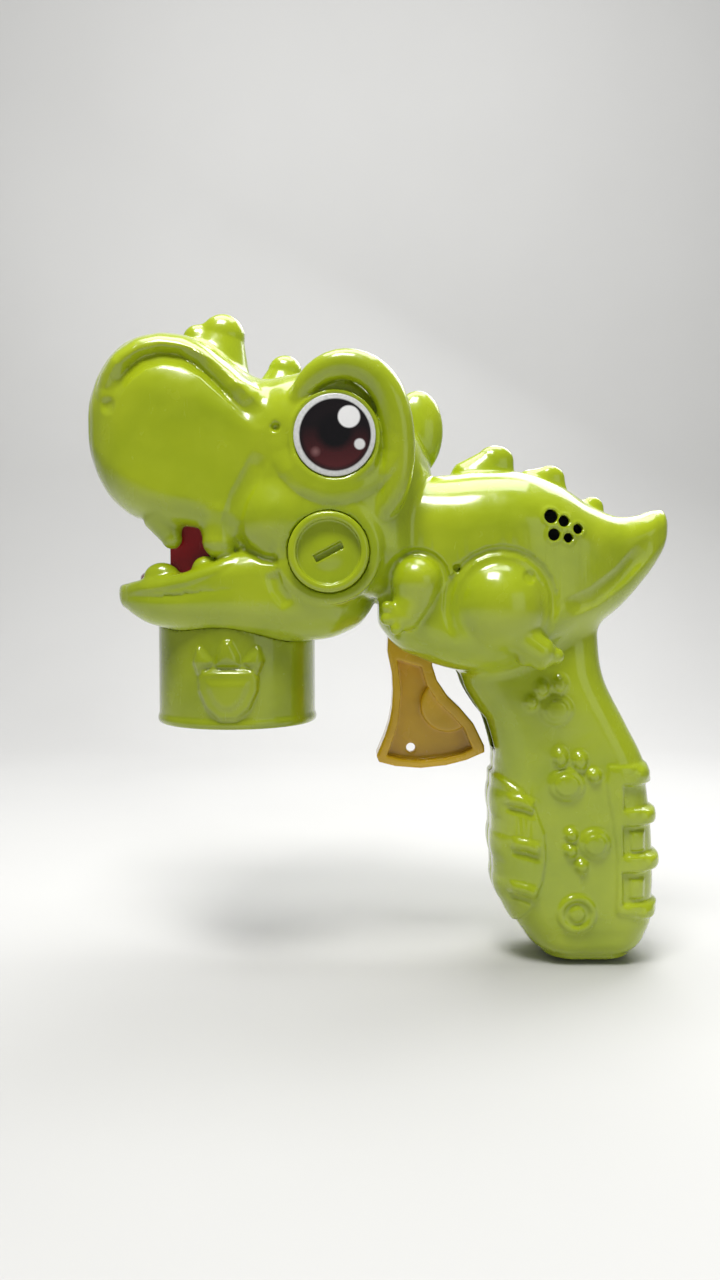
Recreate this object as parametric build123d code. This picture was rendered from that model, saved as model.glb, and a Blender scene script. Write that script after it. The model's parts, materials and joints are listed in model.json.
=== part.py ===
"""Hand-held dinosaur bubble machine, in millimetres.

Frame: +Z up, the snout towards -X, the tail towards +X. The casing parts on the plane Y = 0. Heights below
are from the collar's lower rim; the files are written with the origin at the mouth of the bottle thread,
on the collar's axis.

A fan blows through a duct to the bubble nozzle in the mouth. The same motor turns a three-stage gear train
and a roller pump, which draws liquid from a bottle screwed into the collar. The trigger swings a wiper down
over the nozzle through a sliding link, and pushes the switch plunger. Three AA cells sit in the grip.
"""

from build123d import *
import math
import os

# ---------------------------------------------------------------- driving dimensions
WALL = 2.0                      # casing wall
GAP = 0.3                       # gap between pieces that only lie beside each other
RUN = 0.05                      # radial running clearance of a shaft

# Casing sections. HEAD, JAW and BODY run along X: (x, z_low, z_high, half_width).
HEAD = [
    (-48.5, 89, 113, 13), (-43, 79, 124, 22), (-32, 70, 132.5, 28.5), (-17, 66, 132, 31),
    (-2, 61, 125, 32), (12, 53, 120, 34), (26, 47, 122, 36), (40, 44, 125, 36),
    (52, 44, 118, 33), (61, 46, 107, 27), (67.5, 57, 92, 15),
]
JAW = [
    (-38.5, 39.5, 48, 14), (-32, 36.5, 49, 22), (-20, 33.5, 50.5, 28), (-5, 31.5, 55, 30),
    (10, 30, 61, 31), (25, 29, 64, 31), (38, 31.5, 64, 27), (47, 39, 60, 16),
]
BODY = [
    (48, 33.5, 84, 17), (56, 27, 84, 23), (64, 23, 85, 25), (74, 19.5, 85.5, 25.5), (86, 18, 87, 26),
    (100, 21, 87, 25),
    (112, 27, 82, 23), (124, 33, 74, 19), (136, 42, 70, 13), (145, 52, 72, 8.5), (151, 64.5, 73.5, 4.2),
]
# The grip runs along Z: (z, x_low, x_high, half_width).
GRIP = [
    (38, 84, 126, 16), (15, 79, 129, 17), (0, 87, 136.5, 17), (-13, 90.5, 143, 17), (-28, 91, 146, 17),
    (-45, 91.5, 147.5, 17), (-62, 94, 147.5, 17), (-73, 101, 145, 16), (-80, 108, 140.5, 13.5),
    (-84, 114, 135, 8),
]
HEAD_ROUND, JAW_ROUND, BODY_ROUND, GRIP_ROUND = 26.0, 14.0, 11.0, 9.0     # largest corner radii
# Plates along the back: (x, z, radius).
CREST = [
    (-8.5, 129, 14), (16.3, 119.5, 9.3), (58, 101.5, 15.5),
    (90.5, 85.5, 12), (109.5, 80, 9.7), (123, 72, 8.7),
]

# Mouth: wedge between the lips, and the liner in which the wiper sweeps.
MOUTH_LIP_X, MOUTH_CORNER_X = -60.0, 2.5
LINER_X, LINER_BACK, LINER_Y, LINER_Z, LINER_WALL = (-19.9, 6.0), -2.1, 19.9, (39.9, 74.2), 1.2

# Bottle collar, about the Z axis.
SKIRT_R, SKIRT_WALL, THREAD_R, THREAD_WALL = 27.5, 2.0, 19.0, 2.2
THREAD_Z, COLLAR_DISC_Z, NECK_R, NECK_TOP = (12.0, 26.0), (26.0, 28.6), 20.0, 38.6

# Trigger and wiper linkage, all pivots parallel to Y.
TRIGGER_X, TRIGGER_Z, TRIGGER_HALF = 63.4, 32.0, 6.5
TRIGGER_SWEEP_R = 52.6
TRIGGER_TRAVEL, WIPER_TRAVEL, LINK_Z = 10.0, 50.0, 63.0
ARM_LEAN, CRANK_LEAN = TRIGGER_TRAVEL / 2, WIPER_TRAVEL / 2
ARM_R = (LINK_Z - TRIGGER_Z) / math.cos(math.radians(ARM_LEAN))
LINK_TRAVEL = ARM_R * math.radians(TRIGGER_TRAVEL)
CRANK_R = LINK_TRAVEL / (2 * math.sin(math.radians(CRANK_LEAN)))
YOKE_X = 16.0
YOKE_Z = LINK_Z - CRANK_R * math.cos(math.radians(CRANK_LEAN))
LINK_PIN_R, SLOT_HALF = 1.3, 1.55
WIPER_R = (29.7, 32.2)          # inner and outer radius of the wiper bar's sweep
ARM_Y = (15.2, 17.2)            # the yoke's side arms
LINK_Y = (17.7, 20.0)

# Fan, motor and gear train.
FAN_X, FAN_Z, FAN_R, FAN_HALF = 38.5, 78.0, 18.0, 6.2
HOUSING_Y, HOUSING_WALL = 8.6, 1.4
SPIRAL_START, SPIRAL_R, SPIRAL_GROWTH = -140.0, 19.3, 4.2
DUCT_X, NOZZLE_X, NOZZLE_R, NOZZLE_WALL = 21.0, -1.0, 11.0, 2.2
MOTOR_R, MOTOR_FLAT, MOTOR_LENGTH = 10.0, 7.6, 18.5
MODULE, PINION_TEETH, WHEEL_TEETH = 0.6, 12, 36
STAGE = MODULE * (PINION_TEETH + WHEEL_TEETH) / 2
STAGE_TURNS = (165.0, 170.0, 160.0)      # direction of each stage from the last, in degrees
LAYER_A, LAYER_B, LAYER_C = (-14.0, -11.0), (-17.3, -14.3), (-20.6, -17.6)
PLATE_IN, PLATE_OUT = (-10.4, -9.1), (-22.6, -21.2)
AXLE_R = 1.0
POSTS = [(21.5, 67.5), (5.0, 100.0)]     # (x, z) of the posts that join the gear plates

# Roller pump on the last shaft, and its tube.
ROLLER_R, ROLLER_ORBIT, ROLLERS = 2.6, 6.1, 3
TUBE_R, TUBE_BORE, TUBE_TRACK, PUMP_Y = 1.8, 1.1, 10.7, -3.6
PUMP_R, PUMP_SHELL_Y = 14.6, (-8.9, 1.4)
SPOUT_X, SPOUT_TOP = -6.0, 74.3

# Battery pack, leaning with the grip.
CELL_R, CELL_LENGTH, CELL_PITCH, CELLS = 7.1, 50.0, 14.4, 3
PACK_X, PACK_Z, PACK_LEAN, CELL_Y = 119.3, -40.5, 6.0, 3.9
PACK_HALF_X, PACK_HALF_Z, PACK_Y = 22.7, 27.5, (-4.6, 11.9)
DOOR_HALF_X, DOOR_HALF_Z = 22.0, 27.0

# Eyes and cheek caps, set into pockets on both sides.
EYE_X, EYE_Z, EYE_R, EYE_SEAT_Y, EYE_THICK = 35.5, 95.5, 13.1, 34.2, 1.4
CAP_X, CAP_Z, CAP_R, CAP_SEAT_Y, CAP_THICK = 33.5, 58.5, 13.0, 31.8, 5.2

# Speaker, its holes (x, z, radius), and the circuit board with its posts.
SPEAKER_X, SPEAKER_Z = 109.0, 62.0
SPEAKER_HOLES = [
    (106.5, 70.5, 2.3), (111, 69, 1.9), (107.5, 64.5, 2.0), (112.5, 63.5, 1.6), (116, 66.5, 1.7),
]
BOARD_Y, BOARD_POSTS = (-5.2, -3.8), [(98, 41.5), (116, 50.5)]

# Casing screws, (x, z), and their bosses.
BOSSES = [(-27, 119), (51, 106), (-27, 42.3), (90, 76), (132, 57), (107, 3), (124, -74.5), (41, 40.5)]
BOSS_R, PIT_R, SEAT_Y, SCREW_R = 4.0, 3.1, 5.0, 1.35


# ---------------------------------------------------------------- small helpers
def about_y(x, z, y_low, y_high, radius):
    """A cylinder whose axis is parallel to Y."""
    plane = Plane(origin=(x, y_low, z), x_dir=(1, 0, 0), z_dir=(0, 1, 0))
    return extrude(plane * Circle(radius), y_high - y_low)


def about_z(z_low, z_high, radius, x=0.0, y=0.0):
    return extrude(Plane(origin=(x, y, z_low)) * Circle(radius), z_high - z_low)


def block(x, y, z):
    """A box from three (low, high) pairs."""
    size = [pair[1] - pair[0] for pair in (x, y, z)]
    centre = [(pair[0] + pair[1]) / 2 for pair in (x, y, z)]
    return Location(tuple(centre)) * Box(*size)


def slab(points, y_low, y_high):
    """A straight-sided outline in the XZ plane, extruded along Y."""
    plane = Plane(origin=(0, y_low, 0), x_dir=(1, 0, 0), z_dir=(0, -1, 0))
    face = make_face(Polyline(*points, close=True))
    return extrude(plane * face, -(y_high - y_low))


def on_circle(x, z, radius, degrees):
    angle = math.radians(degrees)
    return (x + radius * math.cos(angle), z + radius * math.sin(angle))


def turned(shape, x, z, degrees):
    """The shape turned about a line parallel to Y through (x, z); positive is from +X to +Z."""
    return shape.rotate(Axis((x, 0, z), (0, -1, 0)), degrees)


def section(centre, x_dir, normal, width, height, corner):
    radius = min(corner, 0.40 * min(width, height))
    return Plane(origin=centre, x_dir=x_dir, z_dir=normal) * RectangleRounded(width, height, radius)


def along_x(rows, corner, inset=0.0):
    """A smooth body through sections across X. An inset one is that much smaller all over."""
    faces = []
    for number, (x, z_low, z_high, half) in enumerate(rows):
        shift = {0: inset, len(rows) - 1: -inset}.get(number, 0.0)
        centre = (x + shift, 0, (z_low + z_high) / 2)
        width, height = 2 * (half - inset), z_high - z_low - 2 * inset
        faces.append(section(centre, (0, 1, 0), (1, 0, 0), width, height, corner - inset))
    return loft(faces)


def along_z(rows, corner, inset=0.0):
    faces = []
    for number, (z, x_low, x_high, half) in enumerate(rows):
        shift = {0: -inset, len(rows) - 1: inset}.get(number, 0.0)
        centre = ((x_low + x_high) / 2, 0, z + shift)
        width, height = x_high - x_low - 2 * inset, 2 * (half - inset)
        faces.append(section(centre, (1, 0, 0), (0, 0, 1), width, height, corner - inset))
    return loft(faces)


def gear_points(teeth, module, backlash=0.16):
    """Outline of an involute gear with stub teeth, as points on each flank."""
    pitch_r = module * teeth / 2
    base_r = pitch_r * math.cos(math.radians(20))
    tip_r, root_r = pitch_r + 0.85 * module, pitch_r - 1.15 * module
    start_r = max(base_r, root_r)

    def involute(r):
        return math.sqrt(max((r / base_r) ** 2 - 1, 0)) - math.acos(min(base_r / r, 1))

    half_tooth = math.pi / (2 * teeth) - backlash / (2 * pitch_r) + involute(pitch_r)
    radii = [start_r + (tip_r - start_r) * k / 2 for k in range(3)]
    flank = [(root_r, half_tooth - involute(start_r))] + [(r, half_tooth - involute(r)) for r in radii]
    points = []
    for tooth in range(teeth):
        middle = 2 * math.pi * tooth / teeth
        side = [(r, middle - angle) for r, angle in flank]
        side += [(r, middle + angle) for r, angle in flank[::-1]]
        points += [(r * math.cos(a), r * math.sin(a)) for r, a in side]
    return points


def gear(x, z, teeth, y, turn):
    """A spur gear about (x, z), one tooth pointing to turn degrees."""
    wheel = slab(gear_points(teeth, MODULE), *y)
    return Location((x, 0, z)) * turned(wheel, 0, 0, turn)


def volute(radius_extra, y_low, y_high, outlet_x):
    """The fan's spiral with its outlet towards -X."""
    steps = 10
    sweep = 450.0 + SPIRAL_START
    points = []
    for k in range(steps + 1):
        radius = SPIRAL_R + SPIRAL_GROWTH * k / steps + radius_extra
        points.append(on_circle(FAN_X, FAN_Z, radius, SPIRAL_START - sweep * k / steps))
    outlet = Polyline(points[-1], (outlet_x, points[-1][1]), (outlet_x, points[0][1]), points[0])
    outline = Spline(*points) + outlet
    plane = Plane(origin=(0, y_low, 0), x_dir=(1, 0, 0), z_dir=(0, -1, 0))
    return extrude(plane * make_face(outline), -(y_high - y_low))


# ---------------------------------------------------------------- casing
def crest_spike(x, z, size):
    """A blunt plate on the dinosaur's back."""
    disc = about_y(x, z, -4.5, 4.5, size)
    return fillet(disc.edges(), 3.5)


def mouth_wedge(grow):
    return slab(
        [
            (MOUTH_LIP_X, 48.6 - grow), (-39, 48.6 - grow), (-14, 52 - grow), (-6, 55 - grow),
            (MOUTH_CORNER_X + grow, 60), (MOUTH_CORNER_X + grow, 63), (-6, 66 + grow),
            (-32, 70 + grow), (MOUTH_LIP_X, 78 + grow),
        ],
        -45, 45,
    )


def trigger_slot():
    """The sector in which the trigger swings."""
    arc = [on_circle(TRIGGER_X, TRIGGER_Z + 2, TRIGGER_SWEEP_R, a) for a in range(-165, -44, 10)]
    return slab([(TRIGGER_X, TRIGGER_Z + 2)] + arc, -TRIGGER_HALF - 0.8, TRIGGER_HALF + 0.8)


def hull(inset=0.0):
    """Head, jaw, body and grip as one solid."""
    upper = along_x(HEAD, HEAD_ROUND, inset) + along_x(JAW, JAW_ROUND, inset)
    return upper + along_x(BODY, BODY_ROUND, inset) + along_z(GRIP, GRIP_ROUND, inset)


def casing():
    """Left half, right half and battery door."""
    solid, cavity = hull(), hull(WALL)
    outer = solid
    for x, z, size in CREST:
        outer += crest_spike(x, z, size)
    hollow = cavity - mouth_wedge(WALL) - inner_bosses()
    window = block((-DOOR_HALF_X, DOOR_HALF_X), (9, 30), (-DOOR_HALF_Z, DOOR_HALF_Z))
    half_x, half_z = DOOR_HALF_X - GAP, DOOR_HALF_Z - GAP
    plug = block((-half_x, half_x), (9, 30), (-half_z, half_z))
    door = placed_pack(plug) & (solid - cavity)
    halves = []
    for y in ((-60, 0), (0, 60)):
        half = (outer & block((-200, 200), y, (-200, 200))) - hollow
        halves.append(half - mouth_wedge(0) - openings() - casing_holes() - placed_pack(window))
    return halves[0], halves[1], door


def inner_bosses():
    """Screw bosses, trigger pin bosses and the seats of the eyes, cheek caps, speaker and board."""
    shapes = [about_y(x, z, -40, 40, BOSS_R) for x, z in BOSSES]
    for side in (-1, 1):
        shapes.append(about_y(TRIGGER_X, TRIGGER_Z, *sorted((side * 18.4, side * 40)), 4.2))
        shapes.append(about_y(EYE_X, EYE_Z, *sorted((side * (EYE_SEAT_Y - WALL), side * 40)), EYE_R + 1.5))
        shapes.append(about_y(CAP_X, CAP_Z, *sorted((side * (CAP_SEAT_Y - 2.3), side * 40)), CAP_R + 1.5))
    shapes += [about_y(x, z, -40, BOARD_Y[0], 2.0) for x, z in BOARD_POSTS]
    speaker_seat = about_y(SPEAKER_X, SPEAKER_Z, -40, -13.6, 10.8)
    shapes.append(speaker_seat - about_y(SPEAKER_X, SPEAKER_Z, -41, 0, 9.4))
    joined = shapes[0]
    for shape in shapes[1:]:
        joined += shape
    return joined


def openings():
    """The liner's hole, the passages behind it, the collar's hole and the trigger's slot."""
    gap = 0.1
    cut = block((LINER_X[0] - gap, LINER_X[1] + 4), (-LINER_Y - gap, LINER_Y + gap),
                (LINER_Z[0] - gap, LINER_Z[1] + gap))
    return cut + about_z(0, 37, NECK_R + 0.3) + trigger_slot()


def casing_holes():
    """Screw, pin and speaker holes, and the pockets for the eyes and cheek caps."""
    cuts = [about_y(TRIGGER_X, TRIGGER_Z, -20.6, 20.6, 1.52)]
    for x, z in BOSSES:
        cuts.append(about_y(x, z, SEAT_Y, 45, PIT_R))
        cuts.append(about_y(x, z, 0, SEAT_Y + 1, SCREW_R + 0.35))
        cuts.append(about_y(x, z, -9.4, 0.1, SCREW_R + 0.05))
    cuts += [about_y(x, z, -45, -14, radius) for x, z, radius in SPEAKER_HOLES]
    for side in (-1, 1):
        cuts.append(about_y(EYE_X, EYE_Z, *sorted((side * EYE_SEAT_Y, side * 45)), EYE_R + GAP))
        cuts.append(about_y(CAP_X, CAP_Z, *sorted((side * CAP_SEAT_Y, side * 45)), CAP_R + GAP))
    joined = cuts[0]
    for cut in cuts[1:]:
        joined += cut
    return joined


def placed_pack(shape):
    """From the battery pack's own frame to the part's."""
    return turned(Location((PACK_X, 0, PACK_Z)) * shape, PACK_X, PACK_Z, PACK_LEAN)


def eye(side):
    near, far = sorted((side * (EYE_SEAT_Y + 0.02), side * (EYE_SEAT_Y + EYE_THICK)))
    return about_y(EYE_X, EYE_Z, near, far, EYE_R)


def cheek_cap(side):
    near, far = sorted((side * (CAP_SEAT_Y + 0.02), side * (CAP_SEAT_Y + CAP_THICK)))
    dish = sorted((side * (CAP_SEAT_Y + 2.2), side * (CAP_SEAT_Y + 9)))
    slot = sorted((side * (CAP_SEAT_Y + 1.0), side * (CAP_SEAT_Y + 9)))
    cap = about_y(CAP_X, CAP_Z, near, far, CAP_R) - about_y(CAP_X, CAP_Z, *dish, CAP_R - 2.6)
    return cap - turned(block((CAP_X - 5, CAP_X + 5), slot, (CAP_Z - 1, CAP_Z + 1)), CAP_X, CAP_Z, 25)


# ---------------------------------------------------------------- bottle collar
def bottle_collar():
    skirt = about_z(0, 42, SKIRT_R) - about_z(-1, COLLAR_DISC_Z[0], SKIRT_R - SKIRT_WALL)
    skirt -= about_z(COLLAR_DISC_Z[1], 50, SKIRT_R - SKIRT_WALL)
    skirt -= along_x(JAW, JAW_ROUND)
    collar = skirt.solids().sort_by(SortBy.VOLUME)[-1]
    collar += about_z(*THREAD_Z, THREAD_R + THREAD_WALL) - about_z(*THREAD_Z, THREAD_R)
    neck = about_z(COLLAR_DISC_Z[1] - 0.5, NECK_TOP, NECK_R)
    collar += neck - about_z(COLLAR_DISC_Z[1], NECK_TOP, NECK_R - 1.8)
    collar += about_z(37.3, NECK_TOP, NECK_R + 2.2) - about_z(37.3, NECK_TOP, NECK_R - 0.5)
    collar -= about_z(20, 45, 2.6)
    return collar - (about_z(26, 27.3, 18.1) - about_z(26, 27.3, 13.9))


def bottle_seal():
    return about_z(26.02, 27.2, 18.0) - about_z(26.02, 27.2, 14.0)


def inlet_nipple():
    pipe = about_z(26.2, 36, 2.5) + about_z(28.65, 30, 4.5)
    return pipe - about_z(20, 37, 1.2)


# ---------------------------------------------------------------- mouth
def bubble_nozzle():
    """Red ring whose face is round about the wiper's pivot."""
    face_r = WIPER_R[0] - 0.35
    plane = Plane(origin=(NOZZLE_X, 0, YOKE_Z), x_dir=(0, 1, 0), z_dir=(-1, 0, 0))
    outer, inner = extrude(plane * Circle(NOZZLE_R + NOZZLE_WALL), 30), extrude(plane * Circle(NOZZLE_R), 30)
    ring = (outer - inner) & about_y(YOKE_X, YOKE_Z, -20, 20, face_r)
    spout = about_z(YOKE_Z + NOZZLE_R + 1.0, SPOUT_TOP, 2.6, x=SPOUT_X, y=PUMP_Y)
    bore = about_z(YOKE_Z + NOZZLE_R - 3, SPOUT_TOP + 1, TUBE_BORE, x=SPOUT_X, y=PUMP_Y)
    return ring + spout - bore - inner


def mouth_liner():
    """Red box behind the lips, open to the front. The nozzle, the spout and the yoke pass through it."""
    wall = LINER_WALL
    box = block(LINER_X, (-LINER_Y, LINER_Y), LINER_Z)
    box -= block((LINER_X[0] - 1, LINER_BACK - wall), (-LINER_Y + wall, LINER_Y - wall),
                 (LINER_Z[0] + wall, LINER_Z[1] - wall))
    box -= block((LINER_BACK, LINER_X[1] + 1), (-LINER_Y + wall, LINER_Y - wall), (30, 90))
    box -= block((LINER_BACK, LINER_X[1] + 1), (-30, 30), (30, 50))
    box -= block((LINER_BACK, LINER_X[1] + 1), (-30, 30), (70, 90))
    plane = Plane(origin=(0, 0, YOKE_Z), x_dir=(0, 1, 0), z_dir=(-1, 0, 0))
    box -= extrude(plane * Circle(NOZZLE_R + NOZZLE_WALL + GAP), 5)
    for side in (-1, 1):
        box -= block((-4, 0), sorted((side * (ARM_Y[0] - 0.4), side * (ARM_Y[1] + 0.4))), (41.5, 72.8))
    return box - about_z(70, 80, 2.9, x=SPOUT_X, y=PUMP_Y)


def tongue():
    """A pad on the mouth's floor, in front of the liner."""
    floor = [(-34, 49.32), (-20.2, 51.26)]
    top = [(-20.2, 54.2), (-28, 53.6), (-33.4, 51.4)]
    return slab(floor + top, -11, 11)


# ---------------------------------------------------------------- fan, duct, motor
def air_duct():
    def mouth(half_y, z_low, z_high, ring_r):
        start = Plane(origin=(DUCT_X, 0, (z_low + z_high) / 2), x_dir=(0, 1, 0), z_dir=(-1, 0, 0))
        end = Plane(origin=(NOZZLE_X + 0.02, 0, YOKE_Z), x_dir=(0, 1, 0), z_dir=(-1, 0, 0))
        inlet = start * RectangleRounded(2 * half_y, z_high - z_low, 2.5)
        return loft([inlet, end * RectangleRounded(2 * ring_r, 2 * ring_r, ring_r - 0.3)])
    low, high = FAN_Z - SPIRAL_R - SPIRAL_GROWTH, on_circle(FAN_X, FAN_Z, SPIRAL_R, SPIRAL_START)[1]
    wall = HOUSING_WALL
    duct = mouth(HOUSING_Y, low - wall, high + wall, NOZZLE_R + NOZZLE_WALL)
    for side in (-1, 1):
        duct += about_y(YOKE_X, YOKE_Z, *sorted((side * 7, side * 12.0)), 3.2)
    duct -= mouth(HOUSING_Y - wall, low, high, NOZZLE_R)
    duct &= block((-50, DUCT_X), (-20, 20), (30, 66.6))
    return duct - about_y(YOKE_X, YOKE_Z, -20, -9.4, 1.52) - about_y(YOKE_X, YOKE_Z, 9.4, 20, 1.52)


def fan_housing():
    shell = volute(HOUSING_WALL, -HOUSING_Y, HOUSING_Y - HOUSING_WALL, DUCT_X + 0.02)
    shell -= volute(0, -HOUSING_Y + HOUSING_WALL, HOUSING_Y, DUCT_X - 1)
    return shell - about_y(FAN_X, FAN_Z, -20, 0, 9.0)


def fan_cover():
    lid = volute(HOUSING_WALL, HOUSING_Y - HOUSING_WALL + 0.02, HOUSING_Y, DUCT_X + 0.02)
    return lid - about_y(FAN_X, FAN_Z, 0, 20, 2.0)


def fan_impeller():
    wheel = about_y(FAN_X, FAN_Z, FAN_HALF - 1.2, FAN_HALF, FAN_R)
    wheel += about_y(FAN_X, FAN_Z, -FAN_HALF, FAN_HALF, 3.0)
    blades = 16
    for k in range(blades):
        blade = block((11.0, FAN_R - 0.2), (-FAN_HALF, FAN_HALF - 1.1), (-0.5, 0.5))
        blade = turned(blade, 11.0, 0, 28)
        blade = blade & about_y(0, 0, -10, 10, FAN_R)
        wheel += Location((FAN_X, 0, FAN_Z)) * turned(blade, 0, 0, 360 * k / blades)
    return wheel - about_y(FAN_X, FAN_Z, -20, 20, AXLE_R)


def motor():
    low, high = HOUSING_Y + 0.02, HOUSING_Y + MOTOR_LENGTH
    can = about_y(FAN_X, FAN_Z, low, high - 1.6, MOTOR_R)
    can &= block((FAN_X - MOTOR_R, FAN_X + MOTOR_R), (0, 40), (FAN_Z - MOTOR_FLAT, FAN_Z + MOTOR_FLAT))
    can += about_y(FAN_X, FAN_Z, high - 1.6, high, 3.2)
    return can - about_y(FAN_X, FAN_Z, 0, HOUSING_Y + 8, AXLE_R + RUN)


def motor_shaft():
    return about_y(FAN_X, FAN_Z, LAYER_A[0] - 0.6, HOUSING_Y + 7, AXLE_R)


def axle_places():
    """(x, z) of the motor shaft and the three gear shafts."""
    places = [(FAN_X, FAN_Z)]
    for turn in STAGE_TURNS:
        places.append(on_circle(*places[-1], STAGE, turn))
    return places


def mesh_turn(line_angle, driver_turn, driver_teeth, teeth):
    """Turn of a gear so that a gap faces the driver's tooth. The line runs from driver to driven."""
    phase = (line_angle - driver_turn) * driver_teeth / 360.0
    return line_angle + 180.0 + (phase - 0.5) * 360.0 / teeth


def gear_train():
    """Pinion, two compound gears and the pump gear, in mesh at rest."""
    (x0, z0), (x1, z1), (x2, z2), (x3, z3) = axle_places()
    turn1 = mesh_turn(STAGE_TURNS[0], 0.0, PINION_TEETH, WHEEL_TEETH)
    turn2 = mesh_turn(STAGE_TURNS[1], turn1, PINION_TEETH, WHEEL_TEETH)
    turn3 = mesh_turn(STAGE_TURNS[2], turn2, PINION_TEETH, WHEEL_TEETH)
    pinion = gear(x0, z0, PINION_TEETH, LAYER_A, 0.0) - about_y(x0, z0, -20, 20, AXLE_R)
    first = gear(x1, z1, WHEEL_TEETH, LAYER_A, turn1)
    first += gear(x1, z1, PINION_TEETH, (LAYER_B[0], LAYER_A[0] + 0.1), turn1)
    second = gear(x2, z2, WHEEL_TEETH, LAYER_B, turn2)
    second += gear(x2, z2, PINION_TEETH, (LAYER_C[0], LAYER_B[0] + 0.1), turn2)
    second += about_y(x2, z2, LAYER_B[1] - 0.1, LAYER_A[1], 2.2)
    first += about_y(x1, z1, LAYER_C[0], LAYER_B[0] + 0.1, 2.2)
    first -= about_y(x1, z1, -30, 0, AXLE_R + RUN)
    second -= about_y(x2, z2, -30, 0, AXLE_R + RUN)
    last = gear(x3, z3, WHEEL_TEETH, LAYER_C, turn3) - about_y(x3, z3, -30, 0, 1.25)
    return {"motor_pinion": pinion, "gear_1": first, "gear_2": second, "pump_gear": last}


def gear_plate(y, shaft_r, posts):
    """A plate that carries the gear shafts."""
    _, (x1, z1), (x2, z2), (x3, z3) = axle_places()
    plate = slab([(x1 + 4, z1 - 7), (x1 + 4, z1 + 5), (x3 - 5, z3 + 6), (x3 - 5, z3 - 6)], *y)
    for x, z in POSTS:
        plate += about_y(x, z, y[0], y[1], 3.2)
        plate += slab([(x - 3, z), (x + 3, z), (x + 3, 82), (x - 3, 82)], *y)
        if posts:
            plate += about_y(x, z, y[0], PLATE_IN[0] - 0.02, 2.0)
    for x, z in ((x1, z1), (x2, z2)):
        plate -= about_y(x, z, y[0] - 1, y[1] + 1, AXLE_R + 0.02)
    return plate - about_y(x3, z3, y[0] - 1, y[1] + 1, shaft_r)


def gear_axles():
    pins = [about_y(x, z, PLATE_OUT[0], PLATE_IN[1], AXLE_R) for x, z in axle_places()[1:3]]
    return pins


# ---------------------------------------------------------------- pump
def pump_rotor():
    x, z = axle_places()[3]
    rotor = about_y(x, z, LAYER_C[0] - 0.3, -8.0, 1.25)
    rotor += about_y(x, z, -8.2, -7.2, 8.3)
    rotor += about_y(x, z, -7.3, -0.6, 2.6)
    for k in range(ROLLERS):
        px, pz = on_circle(x, z, ROLLER_ORBIT, 90 + 360 * k / ROLLERS)
        rotor += about_y(px, pz, -7.3, -0.6, 0.9)
    return rotor


def roller(k):
    x, z = axle_places()[3]
    px, pz = on_circle(x, z, ROLLER_ORBIT, 90 + 360 * k / ROLLERS)
    return about_y(px, pz, -7.0, -0.8, ROLLER_R) - about_y(px, pz, -10, 5, 0.9 + RUN)


def pump_housing():
    """A cup round the rotor, with channels where the tube comes in and leaves."""
    x, z = axle_places()[3]
    cup = about_y(x, z, *PUMP_SHELL_Y, PUMP_R)
    cup -= about_y(x, z, PUMP_SHELL_Y[0] - 1, PUMP_SHELL_Y[1] - 1.2, TUBE_TRACK + TUBE_R + 0.15)
    return cup - swept_tube(TUBE_R + 0.3)


def swept_tube(radius):
    """A round bar along the supply tube's route: nipple, under the duct, over the fan, pump, spout."""
    x, z = axle_places()[3]
    track, leave = TUBE_TRACK, math.radians(235.0)
    turn = leave - math.pi
    low = track * math.tan(turn / 2)
    slope = math.cos(leave) / -math.sin(leave)
    feed = [
        (0, 0, 36.1), (0, 0, 41), (20, -12, 42.5), (45, -15, 47), (47, -15, 88), (36, -12, 107),
        (16, PUMP_Y, z + track),
    ]
    round_pump = [
        (x - track, PUMP_Y, z + track), (x - track, PUMP_Y, z - low),
        (SPOUT_X, PUMP_Y, z - low + slope * (SPOUT_X - x + track)), (SPOUT_X, PUMP_Y, SPOUT_TOP + 0.1),
    ]
    points = feed + round_pump
    radii = corner_radii(points)
    radii[6], radii[7] = track, track - 0.05
    path = FilletPolyline(*points, radius=radii)
    return sweep(Plane(origin=path @ 0, z_dir=path % 0) * Circle(radius), path)


def supply_tube():
    return swept_tube(TUBE_R) - swept_tube(TUBE_BORE)


def corner_radii(points):
    """Each corner's radius: 0.45 of its shorter run over the tangent of half its turn."""
    radii = []
    for before, here, after in zip(points, points[1:], points[2:]):
        a, b = Vector(*here) - Vector(*before), Vector(*after) - Vector(*here)
        half_turn = math.radians(a.get_angle(b)) / 2
        radii.append(0.45 * min(a.length, b.length) / math.tan(half_turn))
    return radii


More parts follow.
